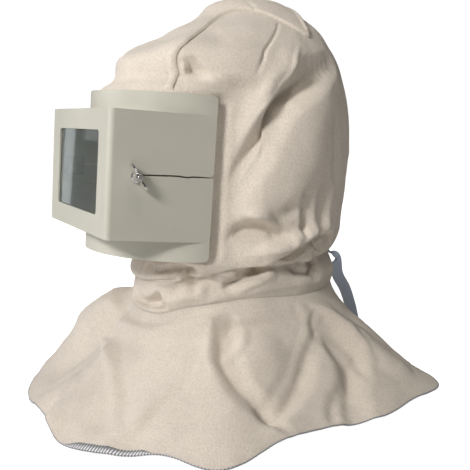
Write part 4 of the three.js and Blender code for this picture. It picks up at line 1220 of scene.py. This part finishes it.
tape_middle = []
tape_beside = []
for on, turn, level, stand in TAPE_ROUTE:
    surface = hood_at if on == "hood" else cape_at
    along = surface(turn, level + 0.01, False) - surface(turn, level - 0.01, False)
    out = Vector((0, -along.z, along.y)).normalized()
    across = (surface(turn + 0.01, level, False) - surface(turn - 0.01, level, False)).normalized()
    lifted = surface(turn, level, False) + out * (TAPE_GAP + 1.0 + TAPE_THICK / 2 + stand * TAPE_STAND)
    tape_middle.append(lifted)
    tape_beside.append(lifted + across * TAPE_WIDTH)


def tape_at(a, b):
    centre = catmull(tape_middle, b)
    ahead = (catmull(tape_middle, b + 0.01) - catmull(tape_middle, b - 0.01)).normalized()
    across = catmull(tape_beside, b) - centre
    across = (across - ahead * across.dot(ahead)).normalized()
    turned = TAPE_TURNED - ahead * TAPE_TURNED.dot(ahead)
    across = across.lerp(turned.normalized(), 0.8 * smooth(b, 0.08, 0.3)).normalized()
    thick = ahead.cross(across).normalized()
    bow = 0.6 * math.cos((a - 0.5) * math.pi)
    return (centre + across * (a - 0.5) * TAPE_WIDTH + thick * (TAPE_THICK / 2 + bow - 0.5)) * MM


tape_bm = surface_grid(10, 120, tape_at, TAPE_WIDTH * MM, TAPE_LENGTH * MM, flip=False)
tape = new_piece("nape_tape", tape_bm, tape_cloth, "hood")
wall(tape, 1.0 * MM)
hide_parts("tie_tape")

# Camera at the photograph's place
CAMERA_AZIMUTH = math.radians(59.73)
CAMERA_ELEVATION = math.radians(9.65)
camera_data = bpy.data.cameras.new("camera")
camera_data.lens = 53.617
camera_data.sensor_width = 36.0
camera_data.sensor_fit = "HORIZONTAL"
camera = bpy.data.objects.new("camera", camera_data)
camera.location = (0.78153, -0.44717, -0.12899)
camera.rotation_euler = (math.pi / 2 - CAMERA_ELEVATION, 0, CAMERA_AZIMUTH)
bpy.context.scene.collection.objects.link(camera)
bpy.context.scene.camera = camera

# Floor, sky and lights
FLOOR_GLOW = 1.0
floor_bm = bmesh.new()
bmesh.ops.create_grid(floor_bm, x_segments=1, y_segments=1, size=6.0)
for v in floor_bm.verts:
    v.co.z = cad_box[0].z - 0.002
floor_mesh = bpy.data.meshes.new("floor")
floor_bm.to_mesh(floor_mesh)
floor_bm.free()
floor = bpy.data.objects.new("floor", floor_mesh)
floor_material, floor_tree, floor_shader = new_material("pale floor")
floor_shader.inputs["Base Color"].default_value = (0.93, 0.93, 0.93, 1)
floor_shader.inputs["Roughness"].default_value = 0.9
floor_shader.inputs["Emission Color"].default_value = (1, 1, 1, 1)
floor_seen = node(floor_tree, "ShaderNodeLightPath")
floor_glow = spread(floor_tree, floor_seen.outputs["Is Camera Ray"], 0.0, FLOOR_GLOW)
floor_tree.links.new(floor_glow, floor_shader.inputs["Emission Strength"])
floor_mesh.materials.append(floor_material)
bpy.context.scene.collection.objects.link(floor)

world = bpy.data.worlds.new("studio")
bpy.context.scene.world = world
world.use_nodes = True
sky_tree = world.node_tree
sky = sky_tree.nodes["Background"]
sky.inputs["Color"].default_value = (1.0, 0.94, 0.87, 1)
sky.inputs["Strength"].default_value = 0.05
backdrop = sky_tree.nodes.new("ShaderNodeBackground")
backdrop.inputs["Color"].default_value = (1.0, 1.0, 1.0, 1)
backdrop.inputs["Strength"].default_value = 1.05
seen = sky_tree.nodes.new("ShaderNodeLightPath")
either = sky_tree.nodes.new("ShaderNodeMixShader")
sky_tree.links.new(seen.outputs["Is Camera Ray"], either.inputs["Fac"])
sky_tree.links.new(sky.outputs["Background"], either.inputs[1])
sky_tree.links.new(backdrop.outputs["Background"], either.inputs[2])
sky_tree.links.new(either.outputs["Shader"], sky_tree.nodes["World Output"].inputs["Surface"])


def softbox(name, place, aim, width, height, power, tint):
    data = bpy.data.lights.new(name, "AREA")
    data.shape = "RECTANGLE"
    data.size = width
    data.size_y = height
    data.energy = power
    data.color = tint
    light = bpy.data.objects.new(name, data)
    light.location = place
    light.rotation_euler = (Vector(aim) - Vector(place)).to_track_quat("-Z", "Y").to_euler()
    light.visible_camera = False
    bpy.context.scene.collection.objects.link(light)
    return light


CENTRE = (0, 0, -0.2)
softbox("key", (0.9, -1.95, 1.0), CENTRE, 0.5, 0.5, 44, (1.0, 0.98, 0.97))
softbox("front", (-1.0, -2.0, 0.5), CENTRE, 0.8, 0.8, 12, (0.9, 0.92, 1.0))
softbox("rear", (-2.2, 1.0, 0.8), CENTRE, 0.8, 0.8, 6, (1.0, 0.98, 0.96))
softbox("top", (0.9, 0.1, 2.0), CENTRE, 0.5, 0.5, 11, (1.0, 0.97, 0.92))


def strip_light(name, place, width, height, tilt, radiance):
    """A narrow light that only shows as a reflection in the pane."""
    aim = (place[0] + 1, place[1], place[2])
    power = radiance * math.pi * width * height
    light = softbox(name, place, aim, width, height, power, (0.93, 1.0, 1.02))
    light.rotation_euler.rotate_axis("Z", math.radians(tilt))


strip_light("pane edge strip", (-1.5, -0.618, -0.2), 0.007, 1.2, 0, 1.2)
strip_light("pane band", (-1.5, -0.650, -0.2), 0.034, 1.2, 2, 0.95)
strip_light("pane right strip", (-1.5, -0.722, 0.02), 0.05, 0.3, 0, 0.3)
bpy.context.scene.view_settings.view_transform = "Standard"
